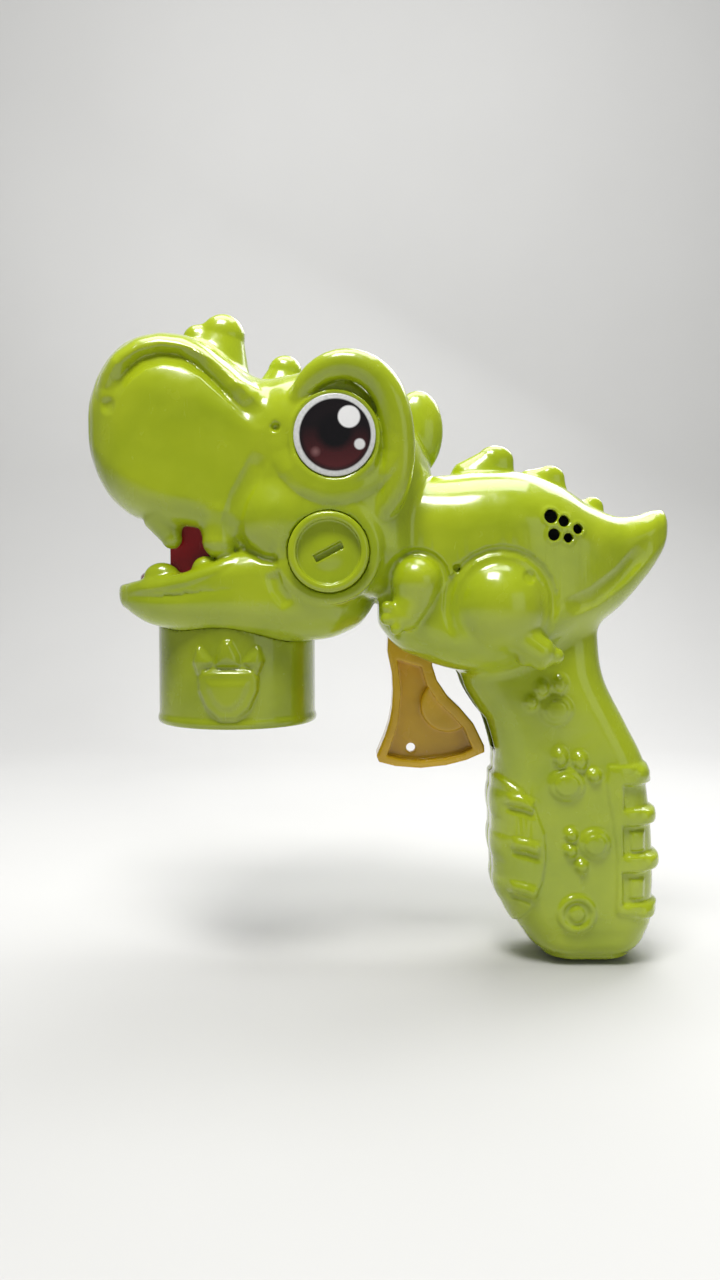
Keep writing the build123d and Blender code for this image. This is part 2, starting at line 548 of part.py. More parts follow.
# ---------------------------------------------------------------- trigger, link, wiper
def trigger():
    """A fan-shaped lever with recessed faces, an arm for the link and a nose for the switch."""
    outline = [
        (53.4, 30.0), (53.2, 24.5), (55.1, 10.8), (53.9, 0), (51.6, -7), (49.4, -12.2), (50.2, -14.4),
        (56, -15.9), (65, -16.6), (74, -15.6), (81, -13.8), (87.6, -10.9), (87.4, -8.6), (83.6, -0.8),
        (79, 4.6),
        (74.4, 9.0), (70.7, 14.5), (68.9, 20), (69.5, 25.6), (85.5, 25.6), (85.5, 32.6), (69, 32.6),
        (66, 36.6), (58, 36.6),
    ]
    lever = slab(outline, -TRIGGER_HALF, TRIGGER_HALF)
    recess = [
        (56.3, 21.8), (57.9, 11), (56.7, -0.5), (54.3, -8.2), (52.8, -12.0), (58, -13.4), (65, -13.9),
        (74, -12.9),
        (80, -11.4), (83.7, -9.6), (80.4, -2), (76, 2.6), (71, 7.2), (67.2, 13), (65.4, 19.2),
    ]
    for side in (-1, 1):
        near, far = sorted((side * 1.4, side * 10))
        panel = slab(recess, near, far) - about_y(74.3, 5.4, *sorted((side * 1, side * 4.4)), 9.2)
        lever -= panel
    lever += about_y(TRIGGER_X, TRIGGER_Z, TRIGGER_HALF - 0.5, ARM_Y[1], 4.0)
    lever += about_y(TRIGGER_X, TRIGGER_Z, -ARM_Y[1], -TRIGGER_HALF + 0.5, 3.2)
    arm = block((-3.2, 3.2), (ARM_Y[0], ARM_Y[1]), (0, ARM_R + 5.2))
    arm -= block((-SLOT_HALF, SLOT_HALF), (0, 30), (ARM_R - 3, ARM_R + 2.6))
    lever += turned(Location((TRIGGER_X, 0, TRIGGER_Z)) * arm, TRIGGER_X, TRIGGER_Z, -ARM_LEAN)
    lever -= about_y(61.7, -9.9, -10, 10, 1.5)
    return lever - about_y(TRIGGER_X, TRIGGER_Z, -30, 30, 1.5 + RUN)


def trigger_pin():
    return about_y(TRIGGER_X, TRIGGER_Z, -20.5, 20.5, 1.5)


def wiper_link():
    """A bar that slides forward along X, with a pin at each end."""
    arm_x = TRIGGER_X + LINK_TRAVEL / 2
    crank_x = YOKE_X + LINK_TRAVEL / 2
    bar = block((crank_x - 3.5, arm_x + 3.5), LINK_Y, (LINK_Z - 2.2, LINK_Z + 2.2))
    bar += about_y(arm_x, LINK_Z, ARM_Y[0] - 0.4, LINK_Y[0] + 0.1, LINK_PIN_R)
    return bar + about_y(crank_x, LINK_Z, ARM_Y[0] - 0.4, LINK_Y[0] + 0.1, LINK_PIN_R)


def wiper_yoke():
    """Two arms pivoted beside the duct, joined by the bar that wipes the nozzle."""
    yoke = block((-WIPER_R[1], -WIPER_R[0]), (-ARM_Y[1], ARM_Y[1]), (-1.6, 1.6))
    for side in (-1, 1):
        y = tuple(sorted((side * ARM_Y[0], side * ARM_Y[1])))
        yoke += block((-WIPER_R[1], 0), y, (-2.2, 2.2))
        yoke += about_y(0, 0, *y, 4.0)
        yoke += about_y(0, 0, *sorted((side * 12.2, side * ARM_Y[0])), 2.6)
        yoke -= about_y(0, 0, *sorted((side * 10, side * 20)), 1.5 + RUN)
    yoke = turned(yoke, 0, 0, -CRANK_LEAN)
    crank = block((-2.9, 2.9), ARM_Y, (0, CRANK_R + 3.6))
    crank -= block((-SLOT_HALF, SLOT_HALF), (10, 20), (CRANK_R - 2.3, CRANK_R + 2))
    crank -= about_y(0, 0, 10, 20, 1.5 + RUN)
    yoke += turned(crank, 0, 0, -CRANK_LEAN)
    return Location((YOKE_X, 0, YOKE_Z)) * yoke


def yoke_pins():
    """Two stub pins that the yoke turns on, pressed into lugs on the duct."""
    return [about_y(YOKE_X, YOKE_Z, *sorted((side * 9.6, side * 17.0)), 1.5) for side in (-1, 1)]


def trigger_spring():
    turns, wire = 6, 0.35
    low, high = 32.7 + wire, 42.0 - wire
    helix = Helix(pitch=(high - low) / turns, height=high - low, radius=2.4)
    start = Plane(origin=helix @ 0, z_dir=helix % 0)
    return Location((74.5, 0, low)) * sweep(start * Circle(wire), helix)


def switch_bracket():
    """Carries the switch and the upper end of the trigger's spring, across the casing."""
    plate = block((70.5, 92), (-26, 26), (42.05, 44)) + block((90, 92), (-26, 26), (44, 48))
    plate -= block((79.9, 86.1), (-4.2, 4.2), (41, 46))
    return plate & along_x(BODY, BODY_ROUND, WALL + 0.1)


def switch_body():
    body = block((80, 86), (-4, 4), (36.6, 45)) + block((78.5, 87.5), (-4, 4), (44.05, 47))
    return body - about_z(34, 42.6, 1.6, x=83, y=0)


def switch_plunger():
    return about_z(33.0, 38.8, 1.55, x=83, y=0)


# ---------------------------------------------------------------- power, sound, light
def battery_box():
    box = block((-PACK_HALF_X, PACK_HALF_X), PACK_Y, (-PACK_HALF_Z, PACK_HALF_Z))
    inner_x, inner_z = PACK_HALF_X - 0.8, PACK_HALF_Z - 1
    box -= block((-inner_x, inner_x), (PACK_Y[0] + 1.3, 20), (-inner_z, inner_z))
    return placed_pack(box) & along_z(GRIP, GRIP_ROUND, WALL + 0.1)


def cell_x(k):
    return (k - (CELLS - 1) / 2) * CELL_PITCH


def aa_cells():
    cells = []
    for k in range(CELLS):
        up = 1 if k % 2 == 0 else -1
        body = about_z(-CELL_LENGTH / 2 + 0.6, CELL_LENGTH / 2 - 1.2, CELL_R)
        body += about_z(0, CELL_LENGTH / 2, 2.7)
        if up < 0:
            body = body.rotate(Axis.X, 180)
        cells.append(placed_pack(Location((cell_x(k), CELL_Y, 0.8 * up)) * body))
    return cells


def battery_contacts():
    """Sheet-metal plates at both ends of the cells, with a raised button for each spring end."""
    plates = []
    for k in range(CELLS):
        up = 1 if k % 2 == 0 else -1
        plus = block((cell_x(k) - 5, cell_x(k) + 5), (CELL_Y - 5, CELL_Y + 5), (25.9, 26.3))
        minus = block((cell_x(k) - 5, cell_x(k) + 5), (CELL_Y - 5, CELL_Y + 5), (-26.4, -26.0))
        minus += Location((cell_x(k), CELL_Y, -25.0)) * Cone(3.6, 2.2, 2.2)
        pair = [plus, minus]
        if up < 0:
            pair = [p.rotate(Axis((0, 0, 0), (0, 1, 0)), 180) for p in pair]
            pair = [Location((2 * cell_x(k), 0, 0)) * p for p in pair]
        plates += [placed_pack(p) for p in pair]
    return plates


def speaker():
    x, z = SPEAKER_X, SPEAKER_Z
    body = about_y(x, z, -13.55, -11.2, 11.0) + about_y(x, z, -11.3, -8.4, 6.5)
    return body - about_y(x, z, -16, -12.6, 9.4)


def circuit_board():
    board = block((94, 120), BOARD_Y, (38, 54))
    parts = block((97, 103), (-3.9, -2.2), (41, 47)) + block((107, 115), (-3.9, -1.5), (44, 50))
    return board + parts


def lamp(y):
    """A 5 mm lamp in the head, lens forward."""
    plane = Plane(origin=(0.5, y, 78), x_dir=(0, 1, 0), z_dir=(-1, 0, 0))
    body = extrude(plane * Circle(2.5), 6) + extrude(plane * Circle(2.9), 1)
    tip = Location((-5.5, y, 78)) * Sphere(2.5)
    return body + tip


def shell_screws():
    screws = []
    for x, z in BOSSES:
        screw = about_y(x, z, SEAT_Y + 0.02, SEAT_Y + 1.8, 2.8) + about_y(x, z, -9, SEAT_Y + 0.1, SCREW_R)
        for turn in (0, 90):
            slot = block((x - 1.6, x + 1.6), (SEAT_Y + 1.1, SEAT_Y + 3), (z - 0.35, z + 0.35))
            screw -= turned(slot, x, z, turn)
        screws.append(screw)
    return screws


# ---------------------------------------------------------------- build
def write(name, shape):
    """One file per node, with the origin moved up to the thread's mouth."""
    pieces = shape if isinstance(shape, list) else [shape]
    solids = [solid.moved(Location((0, 0, -THREAD_Z[0]))) for piece in pieces for solid in piece.solids()]
    export_step(solids[0] if len(solids) == 1 else Compound(children=solids), f"parts/{name}.step")


def main():
    os.makedirs("parts", exist_ok=True)
    left, right, door = casing()
    nodes = {
        "left_shell": left,
        "right_shell": right,
        "battery_door": door,
        "left_eye": eye(-1),
        "right_eye": eye(1),
        "left_cheek_cap": cheek_cap(-1),
        "right_cheek_cap": cheek_cap(1),
        "bottle_collar": bottle_collar(),
        "bottle_seal": bottle_seal(),
        "inlet_nipple": inlet_nipple(),
        "bubble_nozzle": bubble_nozzle(),
        "mouth_liner": mouth_liner(),
        "tongue": tongue(),
        "air_duct": air_duct(),
        "fan_housing": fan_housing(),
        "fan_cover": fan_cover(),
        "fan_impeller": fan_impeller(),
        "motor": motor(),
        "motor_shaft": motor_shaft(),
        "gear_plate_inner": gear_plate(PLATE_IN, 1.3, False),
        "gear_plate_outer": gear_plate(PLATE_OUT, 1.3, True),
        "gear_axles": gear_axles(),
        "pump_rotor": pump_rotor(),
        "pump_housing": pump_housing(),
        "supply_tube": supply_tube(),
        "trigger": trigger(),
        "trigger_pin": trigger_pin(),
        "trigger_spring": trigger_spring(),
        "wiper_link": wiper_link(),
        "wiper_yoke": wiper_yoke(),
        "yoke_pins": yoke_pins(),
        "switch_bracket": switch_bracket(),
        "switch_body": switch_body(),
        "switch_plunger": switch_plunger(),
        "battery_box": battery_box(),
        "aa_cells": aa_cells(),
        "battery_contacts": battery_contacts(),
        "speaker": speaker(),
        "circuit_board": circuit_board(),
        "head_lamps": [lamp(7.5), lamp(14.0)],
        "shell_screws": shell_screws(),
    }
    nodes.update(gear_train())
    for k in range(ROLLERS):
        nodes[f"pump_roller_{k + 1}"] = roller(k)
    for name, shape in nodes.items():
        write(name, shape)


main()
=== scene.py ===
import json
import math

import bpy
import numpy as np
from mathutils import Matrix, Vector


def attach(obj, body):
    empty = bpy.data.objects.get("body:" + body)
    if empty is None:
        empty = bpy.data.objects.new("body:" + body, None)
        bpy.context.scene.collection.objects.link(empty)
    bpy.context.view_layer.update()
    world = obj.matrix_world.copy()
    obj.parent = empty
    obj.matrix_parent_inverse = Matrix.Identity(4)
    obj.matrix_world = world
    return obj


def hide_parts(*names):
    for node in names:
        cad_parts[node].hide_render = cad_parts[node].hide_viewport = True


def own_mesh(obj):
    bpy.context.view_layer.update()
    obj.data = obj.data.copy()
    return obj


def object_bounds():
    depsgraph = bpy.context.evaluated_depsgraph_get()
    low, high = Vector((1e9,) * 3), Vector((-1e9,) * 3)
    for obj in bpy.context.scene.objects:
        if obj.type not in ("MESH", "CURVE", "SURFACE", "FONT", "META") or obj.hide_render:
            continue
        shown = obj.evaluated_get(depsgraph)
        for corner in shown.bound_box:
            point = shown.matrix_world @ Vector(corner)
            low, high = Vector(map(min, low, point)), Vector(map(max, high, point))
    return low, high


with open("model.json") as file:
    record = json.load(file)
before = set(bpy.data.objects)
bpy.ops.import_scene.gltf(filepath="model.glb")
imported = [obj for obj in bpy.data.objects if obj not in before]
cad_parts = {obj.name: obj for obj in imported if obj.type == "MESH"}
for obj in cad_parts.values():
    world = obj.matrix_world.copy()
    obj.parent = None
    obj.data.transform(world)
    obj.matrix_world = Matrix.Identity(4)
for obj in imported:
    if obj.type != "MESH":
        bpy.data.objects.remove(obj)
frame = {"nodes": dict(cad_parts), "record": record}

import openvdb
from mathutils import Vector

# The look of the dinosaur bubble machine. Shapes are worked out in millimetres from the collar's lower rim:
# X towards the tail, Z up, and T is the distance from the parting plane, the same on both sides. Each moulded
# piece is a field of signed distances, negative inside, that is turned into a mesh.

CAD_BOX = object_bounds()
RIM = 12.0                      # the frame's origin is this far above the collar's lower rim
WALL, LEAST_WALL = 2.0, 1.3     # casing wall, and what is left of it under a groove
PARTING = 0.07                  # each half's distance from the parting plane
CELL = 0.6                      # grid step of the casing
FINE = 0.45                     # grid step of the small pieces
MOST_TRIANGLES = 190_000        # a denser mesh is thinned to this
EVERYWHERE = (-60, -5, -95), (160, 45, 150)     # a box round the whole object
ACROSS = (-60, 60)              # from side to side, past the casing

# Casing sections along X: x, lowest z, highest z, half width, upper corner radius, lower corner radius.
HEAD = [
    (-49.8, 97, 106, 4, 3.8, 3.8), (-48.8, 91.5, 112, 12, 9, 9), (-46.5, 85.5, 118.5, 18, 14, 12),
    (-43, 79.5, 124.5, 22.5, 18, 14), (-37.5, 74, 130, 27, 22, 15), (-31, 70, 133, 29.5, 24, 14),
    (-22, 67.5, 133.5, 31.5, 25, 12), (-10, 65.5, 131, 31.5, 25, 11), (0, 61, 124, 31, 24, 12),
    (10, 54, 118, 31.5, 22, 14), (20, 49, 118.5, 33.5, 20, 16), (30, 45.5, 120, 34.5, 19, 17),
    (42, 43.5, 119, 34, 19, 18), (51, 44, 112, 31.5, 18, 18), (59, 46, 104, 27, 17, 15),
    (65, 52, 96, 19, 13, 12), (68.5, 60, 87, 9, 8, 8), (69.5, 66, 80, 3, 2.8, 2.8),
]
JAW = [
    (-40.3, 44, 47, 7, 1.4, 1.4), (-38.8, 41.8, 47.8, 13, 2.6, 2.8), (-35, 39.2, 48.6, 19.5, 3.4, 4.4),
    (-30, 36, 49.6, 24, 4, 7), (-20, 33, 51, 28.5, 4.5, 10), (-5, 31, 55.5, 31, 6, 12),
    (10, 29.5, 61, 32, 10, 14), (25, 29, 64, 31.5, 12, 14), (38, 31.5, 64, 28, 12, 13),
    (45, 36, 61, 19, 10, 10), (49, 42, 56, 8, 5, 5),
]
BODY = [
    (50, 34, 84, 17, 9, 9), (56, 27, 84.5, 23, 15, 12), (64, 23, 85, 26, 18, 13),
    (74, 19.5, 85.8, 27.5, 20, 13), (86, 18, 87, 28, 21, 14), (100, 21, 86.5, 27, 20, 14),
    (112, 27, 82.5, 24, 18, 14), (124, 33, 75.5, 19.5, 15, 13),
    (134, 40, 71.8, 14.5, 11, 10), (142, 48.5, 72.6, 11, 9, 8), (147.5, 55.5, 74.2, 8.4, 7.5, 7),
    (150.6, 61, 73.6, 5.6, 5, 5), (152, 65, 71, 2.8, 2.6, 2.6),
]
# Grip sections along Z: z, lowest x, highest x, half width, rear corner radius, front corner radius.
GRIP = [
    (-85, 119, 130, 4, 3.5, 3.5), (-84, 113, 135.5, 9, 7, 7), (-80.5, 107, 140.8, 13.8, 10, 10),
    (-73, 100.5, 145.3, 16.3, 11, 11), (-62, 94, 147.5, 17.3, 12, 12), (-45, 91.5, 147.5, 17.3, 12, 12),
    (-28, 91, 146, 17.3, 12, 12), (-13, 90.5, 143, 17.3, 12, 12), (0, 87, 136.5, 17.3, 12, 12),
    (15, 79, 129, 17.3, 12, 12), (38, 84, 126, 16, 11, 11),
]
MOUTH = [(-60, 48.6), (-39, 48.6), (-14, 52), (-6, 55), (2.5, 60), (2.5, 63), (-6, 66), (-32, 70), (-60, 78)]

# Places shared with the working parts.
EYE_X, EYE_Z, EYE_R, EYE_SEAT, EYE_FRONT = 35.5, 95.5, 13.1, 34.22, 35.6
CAP_X, CAP_Z, CAP_R, CAP_SEAT, CAP_THICK = 33.5, 58.5, 13.0, 31.82, 5.2
TRIGGER_X, TRIGGER_Z, TRIGGER_HALF, TRIGGER_SWEEP = 63.4, 32.0, 6.5, 52.6
SPRING_X, SPRING_Z, SPRING_R, WIRE_R, SPRING_TURNS = 74.5, (32.7, 42.0), 2.4, 0.35, 6
ARM_T, ARM_R, ARM_LEAN, SLOT_HALF = (15.2, 17.2), 31.118, 5.0, 1.55
LINER_X, LINER_T, LINER_Z = (-20.0, 10.0), 20.0, (39.8, 74.3)
SKIRT_R, SKIRT_WALL, NECK_R, NECK_TOP, DISC_Z, THREAD_R = 27.5, 2.0, 20.0, 38.6, (26.0, 28.6), 19.0
PACK_X, PACK_Z, PACK_LEAN, DOOR_HALF_X, DOOR_HALF_Z, DOOR_T = 119.3, -40.5, 6.0, 22.0, 27.0, 9.0
SCREWS = [(-27, 119), (51, 106), (-27, 42.3), (90, 76), (132, 57), (107, 3), (124, -74.5), (41, 40.5)]
SPEAKER_HOLES = [(106.5, 70.5, 2.3), (111, 69, 1.9), (107.5, 64.5, 2.0), (112.5, 63.5, 1.6), (116, 66.5, 1.7)]


# ---------------------------------------------------------------- distance fields
def soft_min(a, b, blend):
    if blend <= 0:
        return np.minimum(a, b)
    share = np.clip(0.5 + 0.5 * (b - a) / blend, 0, 1)
    return b + (a - b) * share - blend * share * (1 - share)


def soft_max(a, b, blend):
    return -soft_min(-a, -b, blend)


class Shape:
    """A distance function of X, T and Z with the box outside which it needn't be worked out."""

    def __init__(self, low, high, distance):
        self.low, self.high, self.distance = low, high, distance


class Field:
    """Signed distances on a grid."""

    def __init__(self, low, high, step):
        self.low, self.step = np.array(low, float), step
        self.count = [int(math.ceil((b - a) / step)) + 1 for a, b in zip(low, high)]
        self.d = np.full(self.count, 12.0, np.float32)

    def window(self, low, high):
        """The slices and coordinates of the cells inside a box."""
        cuts, axes = [], []
        for k in range(3):
            first = max(0, int((low[k] - self.low[k]) / self.step))
            last = min(self.count[k], int((high[k] - self.low[k]) / self.step) + 2)
            cuts.append(slice(first, max(first, last)))
            shape = [1, 1, 1]
            shape[k] = -1
            axes.append((self.low[k] + self.step * np.arange(first, max(first, last))).reshape(shape))
        return tuple(cuts), axes

    def apply(self, shape, join, margin=3.0):
        cuts, axes = self.window([v - margin for v in shape.low], [v + margin for v in shape.high])
        if min(cut.stop - cut.start for cut in cuts) > 0:
            self.d[cuts] = join(self.d[cuts], shape.distance(*axes).astype(np.float32))

    def add(self, shape, blend=0.0):
        self.apply(shape, lambda here, new: soft_min(here, new, blend), margin=3.0 + blend)

    def cut(self, shape, blend=0.0):
        self.apply(shape, lambda here, new: soft_max(here, -new, blend), margin=3.0 + blend)

    def copy(self):
        twin = Field.__new__(Field)
        twin.low, twin.step, twin.count, twin.d = self.low, self.step, self.count, self.d.copy()
        return twin

    def even_out(self):
        """Divides by the slope, so that the numbers near the surface are true distances."""
        slope = np.zeros_like(self.d)
        for k in range(3):
            slope += np.gradient(self.d, self.step, axis=k) ** 2
        self.d /= np.clip(np.sqrt(slope), 0.4, 1.6)


def along(rows, at):
    """Each column of the rows, smoothly interpolated at the given stations."""
    rows = np.array(rows, float)
    stations, values = rows[:, 0], rows[:, 1:]
    slopes = np.gradient(values, stations, axis=0)
    at = np.clip(np.asarray(at, float), stations[0], stations[-1])
    index = np.clip(np.searchsorted(stations, at) - 1, 0, len(stations) - 2)
    run = stations[index + 1] - stations[index]
    s = (at - stations[index]) / run
    result = []
    for k in range(values.shape[1]):
        start, end = values[index, k], values[index + 1, k]
        bend_a, bend_b = slopes[index, k] * run, slopes[index + 1, k] * run
        result.append(
            (2 * s ** 3 - 3 * s ** 2 + 1) * start + (s ** 3 - 2 * s ** 2 + s) * bend_a
            + (3 * s ** 2 - 2 * s ** 3) * end + (s ** 3 - s ** 2) * bend_b
        )
    return result


def section(side, up, low, high, half, high_r, low_r):
    """Distance to a rounded rectangle whose two ends have different corner radii."""
    radius = np.where(up > (low + high + low_r - high_r) / 2, high_r, low_r)
    out_side = side - (half - radius)
    out_up = np.maximum(low + radius - up, up - (high - radius))
    corner = np.hypot(np.maximum(out_side, 0), np.maximum(out_up, 0))
    return corner + np.minimum(np.maximum(out_side, out_up), 0) - radius


def loft_x(rows):
    ends = rows[0][0], rows[-1][0]

    def distance(x, t, z):
        low, high, half, high_r, low_r = along(rows, x)
        d = section(t, z, low, high, half, high_r, low_r)
        return soft_max(soft_max(d, ends[0] - x, 1.5), x - ends[1], 1.5)

    box = np.array(rows)
    return Shape((ends[0], -50, box[:, 1].min()), (ends[1], 50, box[:, 2].max()), distance)


def loft_z(rows):
    ends = rows[0][0], rows[-1][0]

    def distance(x, t, z):
        low, high, half, high_r, low_r = along(rows, z)
        d = section(t, x, low, high, half, high_r, low_r)
        return soft_max(soft_max(d, ends[0] - z, 1.5), z - ends[1], 1.5)

    box = np.array(rows)
    return Shape((box[:, 1].min(), -50, ends[0]), (box[:, 2].max(), 50, ends[1]), distance)


def turned(x, z, centre_x, centre_z, degrees):
    """Coordinates in a frame that is turned from +X towards +Z about a centre."""
    c, s = math.cos(math.radians(degrees)), math.sin(math.radians(degrees))
    return (x - centre_x) * c + (z - centre_z) * s, (z - centre_z) * c - (x - centre_x) * s


def ball(centre, radii, lean=0.0):
    """An ellipsoid, leaning from +X towards +Z."""
    reach = max(radii)

    def distance(x, t, z):
        u, w = turned(x, z, centre[0], centre[2], lean)
        v = t - centre[1]
        near = np.sqrt((u / radii[0]) ** 2 + (v / radii[1]) ** 2 + (w / radii[2]) ** 2)
        far = np.sqrt((u / radii[0] ** 2) ** 2 + (v / radii[1] ** 2) ** 2 + (w / radii[2] ** 2) ** 2)
        return near * (near - 1) / np.maximum(far, 1e-6)

    return Shape([c - reach for c in centre], [c + reach for c in centre], distance)


def rod(start, end, start_r, end_r):
    """A round, tapered bar with ball ends."""
    a, b = np.array(start, float), np.array(end, float)
    run = b - a
    reach = max(start_r, end_r)

    def distance(x, t, z):
        share = ((x - a[0]) * run[0] + (t - a[1]) * run[1] + (z - a[2]) * run[2]) / max(run @ run, 1e-9)
        share = np.clip(share, 0, 1)
        gap = [axis - (a[k] + share * run[k]) for k, axis in enumerate((x, t, z))]
        return np.sqrt(gap[0] ** 2 + gap[1] ** 2 + gap[2] ** 2) - (start_r + share * (end_r - start_r))

    return Shape(np.minimum(a, b) - reach, np.maximum(a, b) + reach, distance)


def outline_distance(points, x, z):
    """Distance to a closed outline in the XZ plane."""
    best, inside = None, None
    for (ax, az), (bx, bz) in zip(points, points[1:] + points[:1]):
        run_x, run_z = bx - ax, bz - az
        share = np.clip(((x - ax) * run_x + (z - az) * run_z) / (run_x ** 2 + run_z ** 2), 0, 1)
        gap = (x - ax - share * run_x) ** 2 + (z - az - share * run_z) ** 2
        crossing = ((az > z) != (bz > z)) & (x < ax + (z - az) * run_x / (run_z if run_z else 1e-9))
        best = gap if best is None else np.minimum(best, gap)
        inside = crossing if inside is None else inside ^ crossing
    return np.sqrt(best) * np.where(inside, -1, 1)


def thickened(flat, t, t_low, t_high, rounding):
    """A flat distance extruded from t_low to t_high, with rounded edges."""
    across = np.maximum(t_low - t, t - t_high) + rounding
    flat = flat + rounding
    corner = np.hypot(np.maximum(flat, 0), np.maximum(across, 0))
    return np.minimum(np.maximum(flat, across), 0) + corner - rounding


def plate(points, t, rounding=0.0):
    def distance(x, side, z):
        return thickened(outline_distance(points, x, z), side, t[0], t[1], rounding)

    xs, zs = [p[0] for p in points], [p[1] for p in points]
    return Shape((min(xs), t[0], min(zs)), (max(xs), t[1], max(zs)), distance)


def disc(x0, z0, radius, t, rounding=0.0):
    def distance(x, side, z):
        return thickened(np.hypot(x - x0, z - z0) - radius, side, t[0], t[1], rounding)

    return Shape((x0 - radius, t[0], z0 - radius), (x0 + radius, t[1], z0 + radius), distance)


def brick(x_range, t, z_range, lean=0.0, about=(0.0, 0.0), rounding=0.0):
    """A box given in a frame that leans about a point of the XZ plane."""
    centre = [(x_range[0] + x_range[1]) / 2, (z_range[0] + z_range[1]) / 2]
    half = [(x_range[1] - x_range[0]) / 2, (z_range[1] - z_range[0]) / 2]

    def distance(x, side, z):
        u, w = turned(x, z, about[0], about[1], lean)
        out_u, out_w = abs(u + about[0] - centre[0]) - half[0], abs(w + about[1] - centre[1]) - half[1]
        flat = np.minimum(np.maximum(out_u, out_w), 0) + np.hypot(np.maximum(out_u, 0), np.maximum(out_w, 0))
        return thickened(flat, side, t[0], t[1], rounding)

    reach = math.hypot(*half) + math.hypot(centre[0] - about[0], centre[1] - about[1])
    low, high = (about[0] - reach, t[0], about[1] - reach), (about[0] + reach, t[1], about[1] + reach)
    return Shape(low, high, distance)


def upright(radius, z_range, hollow=0.0, rounding=0.0):
    """A round post or tube about the collar's axis."""
    def distance(x, side, z):
        out = np.hypot(x, side) - radius
        if hollow:
            out = np.maximum(out, hollow - np.hypot(x, side))
        return thickened(out, z, z_range[0], z_range[1], rounding)

    return Shape((-radius, -radius, z_range[0]), (radius, radius, z_range[1]), distance)


# ---------------------------------------------------------------- relief on the sides
class Relief:
    """Heights raised on, or sunk into, the surface, as seen from the side."""

    def __init__(self, field):
        _, axes = field.window(field.low, field.low + field.step * np.array(field.count))
        self.x, self.z = axes[0][:, 0, :], axes[2][0, :, :].reshape(1, -1)
        self.height = np.zeros((field.count[0], field.count[2]), np.float32)

    def pad(self, x, z, radius, height, edge=1.0, flatten=1.0, lean=0.0):
        u, w = turned(self.x, self.z, x, z, lean)
        self.raise_by(np.hypot(u, w / flatten) - radius, height, edge)

    def raise_by(self, distance, height, edge):
        share = np.clip(0.5 - distance / edge, 0, 1)
        self.height += height * share * share * (3 - 2 * share)

    def stroke(self, points, radius, height):
        """A rounded ridge, or a groove when the height is negative, that thins out at both ends."""
        best = np.full(self.height.shape, 1e9)
        lengths = [math.dist(a, b) for a, b in zip(points, points[1:])]
        done = 0.0
        fade = np.ones(self.height.shape)
        for (ax, az), (bx, bz), length in zip(points, points[1:], lengths):
            share = ((self.x - ax) * (bx - ax) + (self.z - az) * (bz - az)) / length ** 2
            share = np.clip(share, 0, 1)
            gap = np.hypot(self.x - ax - share * (bx - ax), self.z - az - share * (bz - az))
            place = (done + share * length) / sum(lengths)
            nearer = gap < best
            best = np.where(nearer, gap, best)
            fade = np.where(nearer, np.clip(np.minimum(place, 1 - place) * 6 + 0.15, 0, 1), fade)
            done += length
        self.height += height * fade * np.clip(1 - (best / radius) ** 2, 0, 1) ** 0.8

    def area(self, points, height, edge=1.0):
        self.raise_by(outline_distance(points, self.x, self.z), height, edge)


def arc_points(x, z, radius, start, end, count=9, flatten=1.0):
    angles = [math.radians(start + (end - start) * k / (count - 1)) for k in range(count)]
    return [(x + radius * math.cos(a), z + radius * flatten * math.sin(a)) for a in angles]


def paw(relief, pad, toes, height=1.9):
    """A paw print: a wide pad and its toes, each with a raised top. Each is x, z, radius, flattening."""
    for x, z, radius, flatten in [pad] + toes:
        relief.pad(x, z, radius, 0.6 * height, edge=2.0, flatten=flatten)
        relief.pad(x, z, radius * 0.66, 0.5 * height, edge=1.3, flatten=flatten)


def head_relief(relief):
    muzzle = [(-40, 112), (-38.5, 116.5), (-34.8, 121.8), (-29, 126.2), (-22, 128), (-14.5, 127.2),
              (-7.5, 123.4), (-1.4, 117.8), (4, 112.4), (9.5, 107.5)]
    relief.stroke(muzzle, 4.3, 3.2)
    relief.stroke([(x + 1.6, z - 6.0) for x, z in muzzle], 3.4, -1.3)
    relief.pad(6.6, 110.4, 4.6, 1.3, edge=5.0)
    relief.pad(-38.6, 106.5, 2.0, -0.9, edge=2.6)
    relief.pad(16.5, 98.4, 1.3, -1.8, edge=1.4)
    relief.stroke([(-35, 46.6), (-23, 48.4), (-13, 50.2), (-3, 54), (4, 59)], 2.6, 0.7)
    relief.stroke([(3.2, 63), (2.4, 69), (4.6, 76), (9.0, 84), (12, 90)], 3.6, -1.1)
    relief.stroke([(3.6, 65), (6.6, 60), (12, 56.6), (18, 55.6)], 1.8, -1.1)
    relief.stroke(arc_points(EYE_X, EYE_Z, EYE_R + 4.4, 195, 345, 15), 4.6, 1.4)
    relief.stroke([(15, 52), (16.6, 46.5), (20.5, 41)], 2.6, -1.2)


def body_relief(relief):
    relief.stroke(arc_points(90, 41, 17.8, -35, 215, 17, flatten=1.04), 1.7, -1.1)
    relief.stroke(arc_points(62.3, 49.2, 9.6, -20, 190, 15), 1.5, -1.0)
    relief.pad(75.5, 53.5, 1.2, -1.8, edge=0.8)
    relief.pad(98.8, 50.3, 2.0, -0.6, edge=1.2)
    for x, z, radius in SPEAKER_HOLES:
        relief.pad(x, z, radius + 1.1, 0.35, edge=0.8)
    relief.stroke([(112, 40), (122, 44), (132, 51), (141, 60)], 3.4, -1.2)


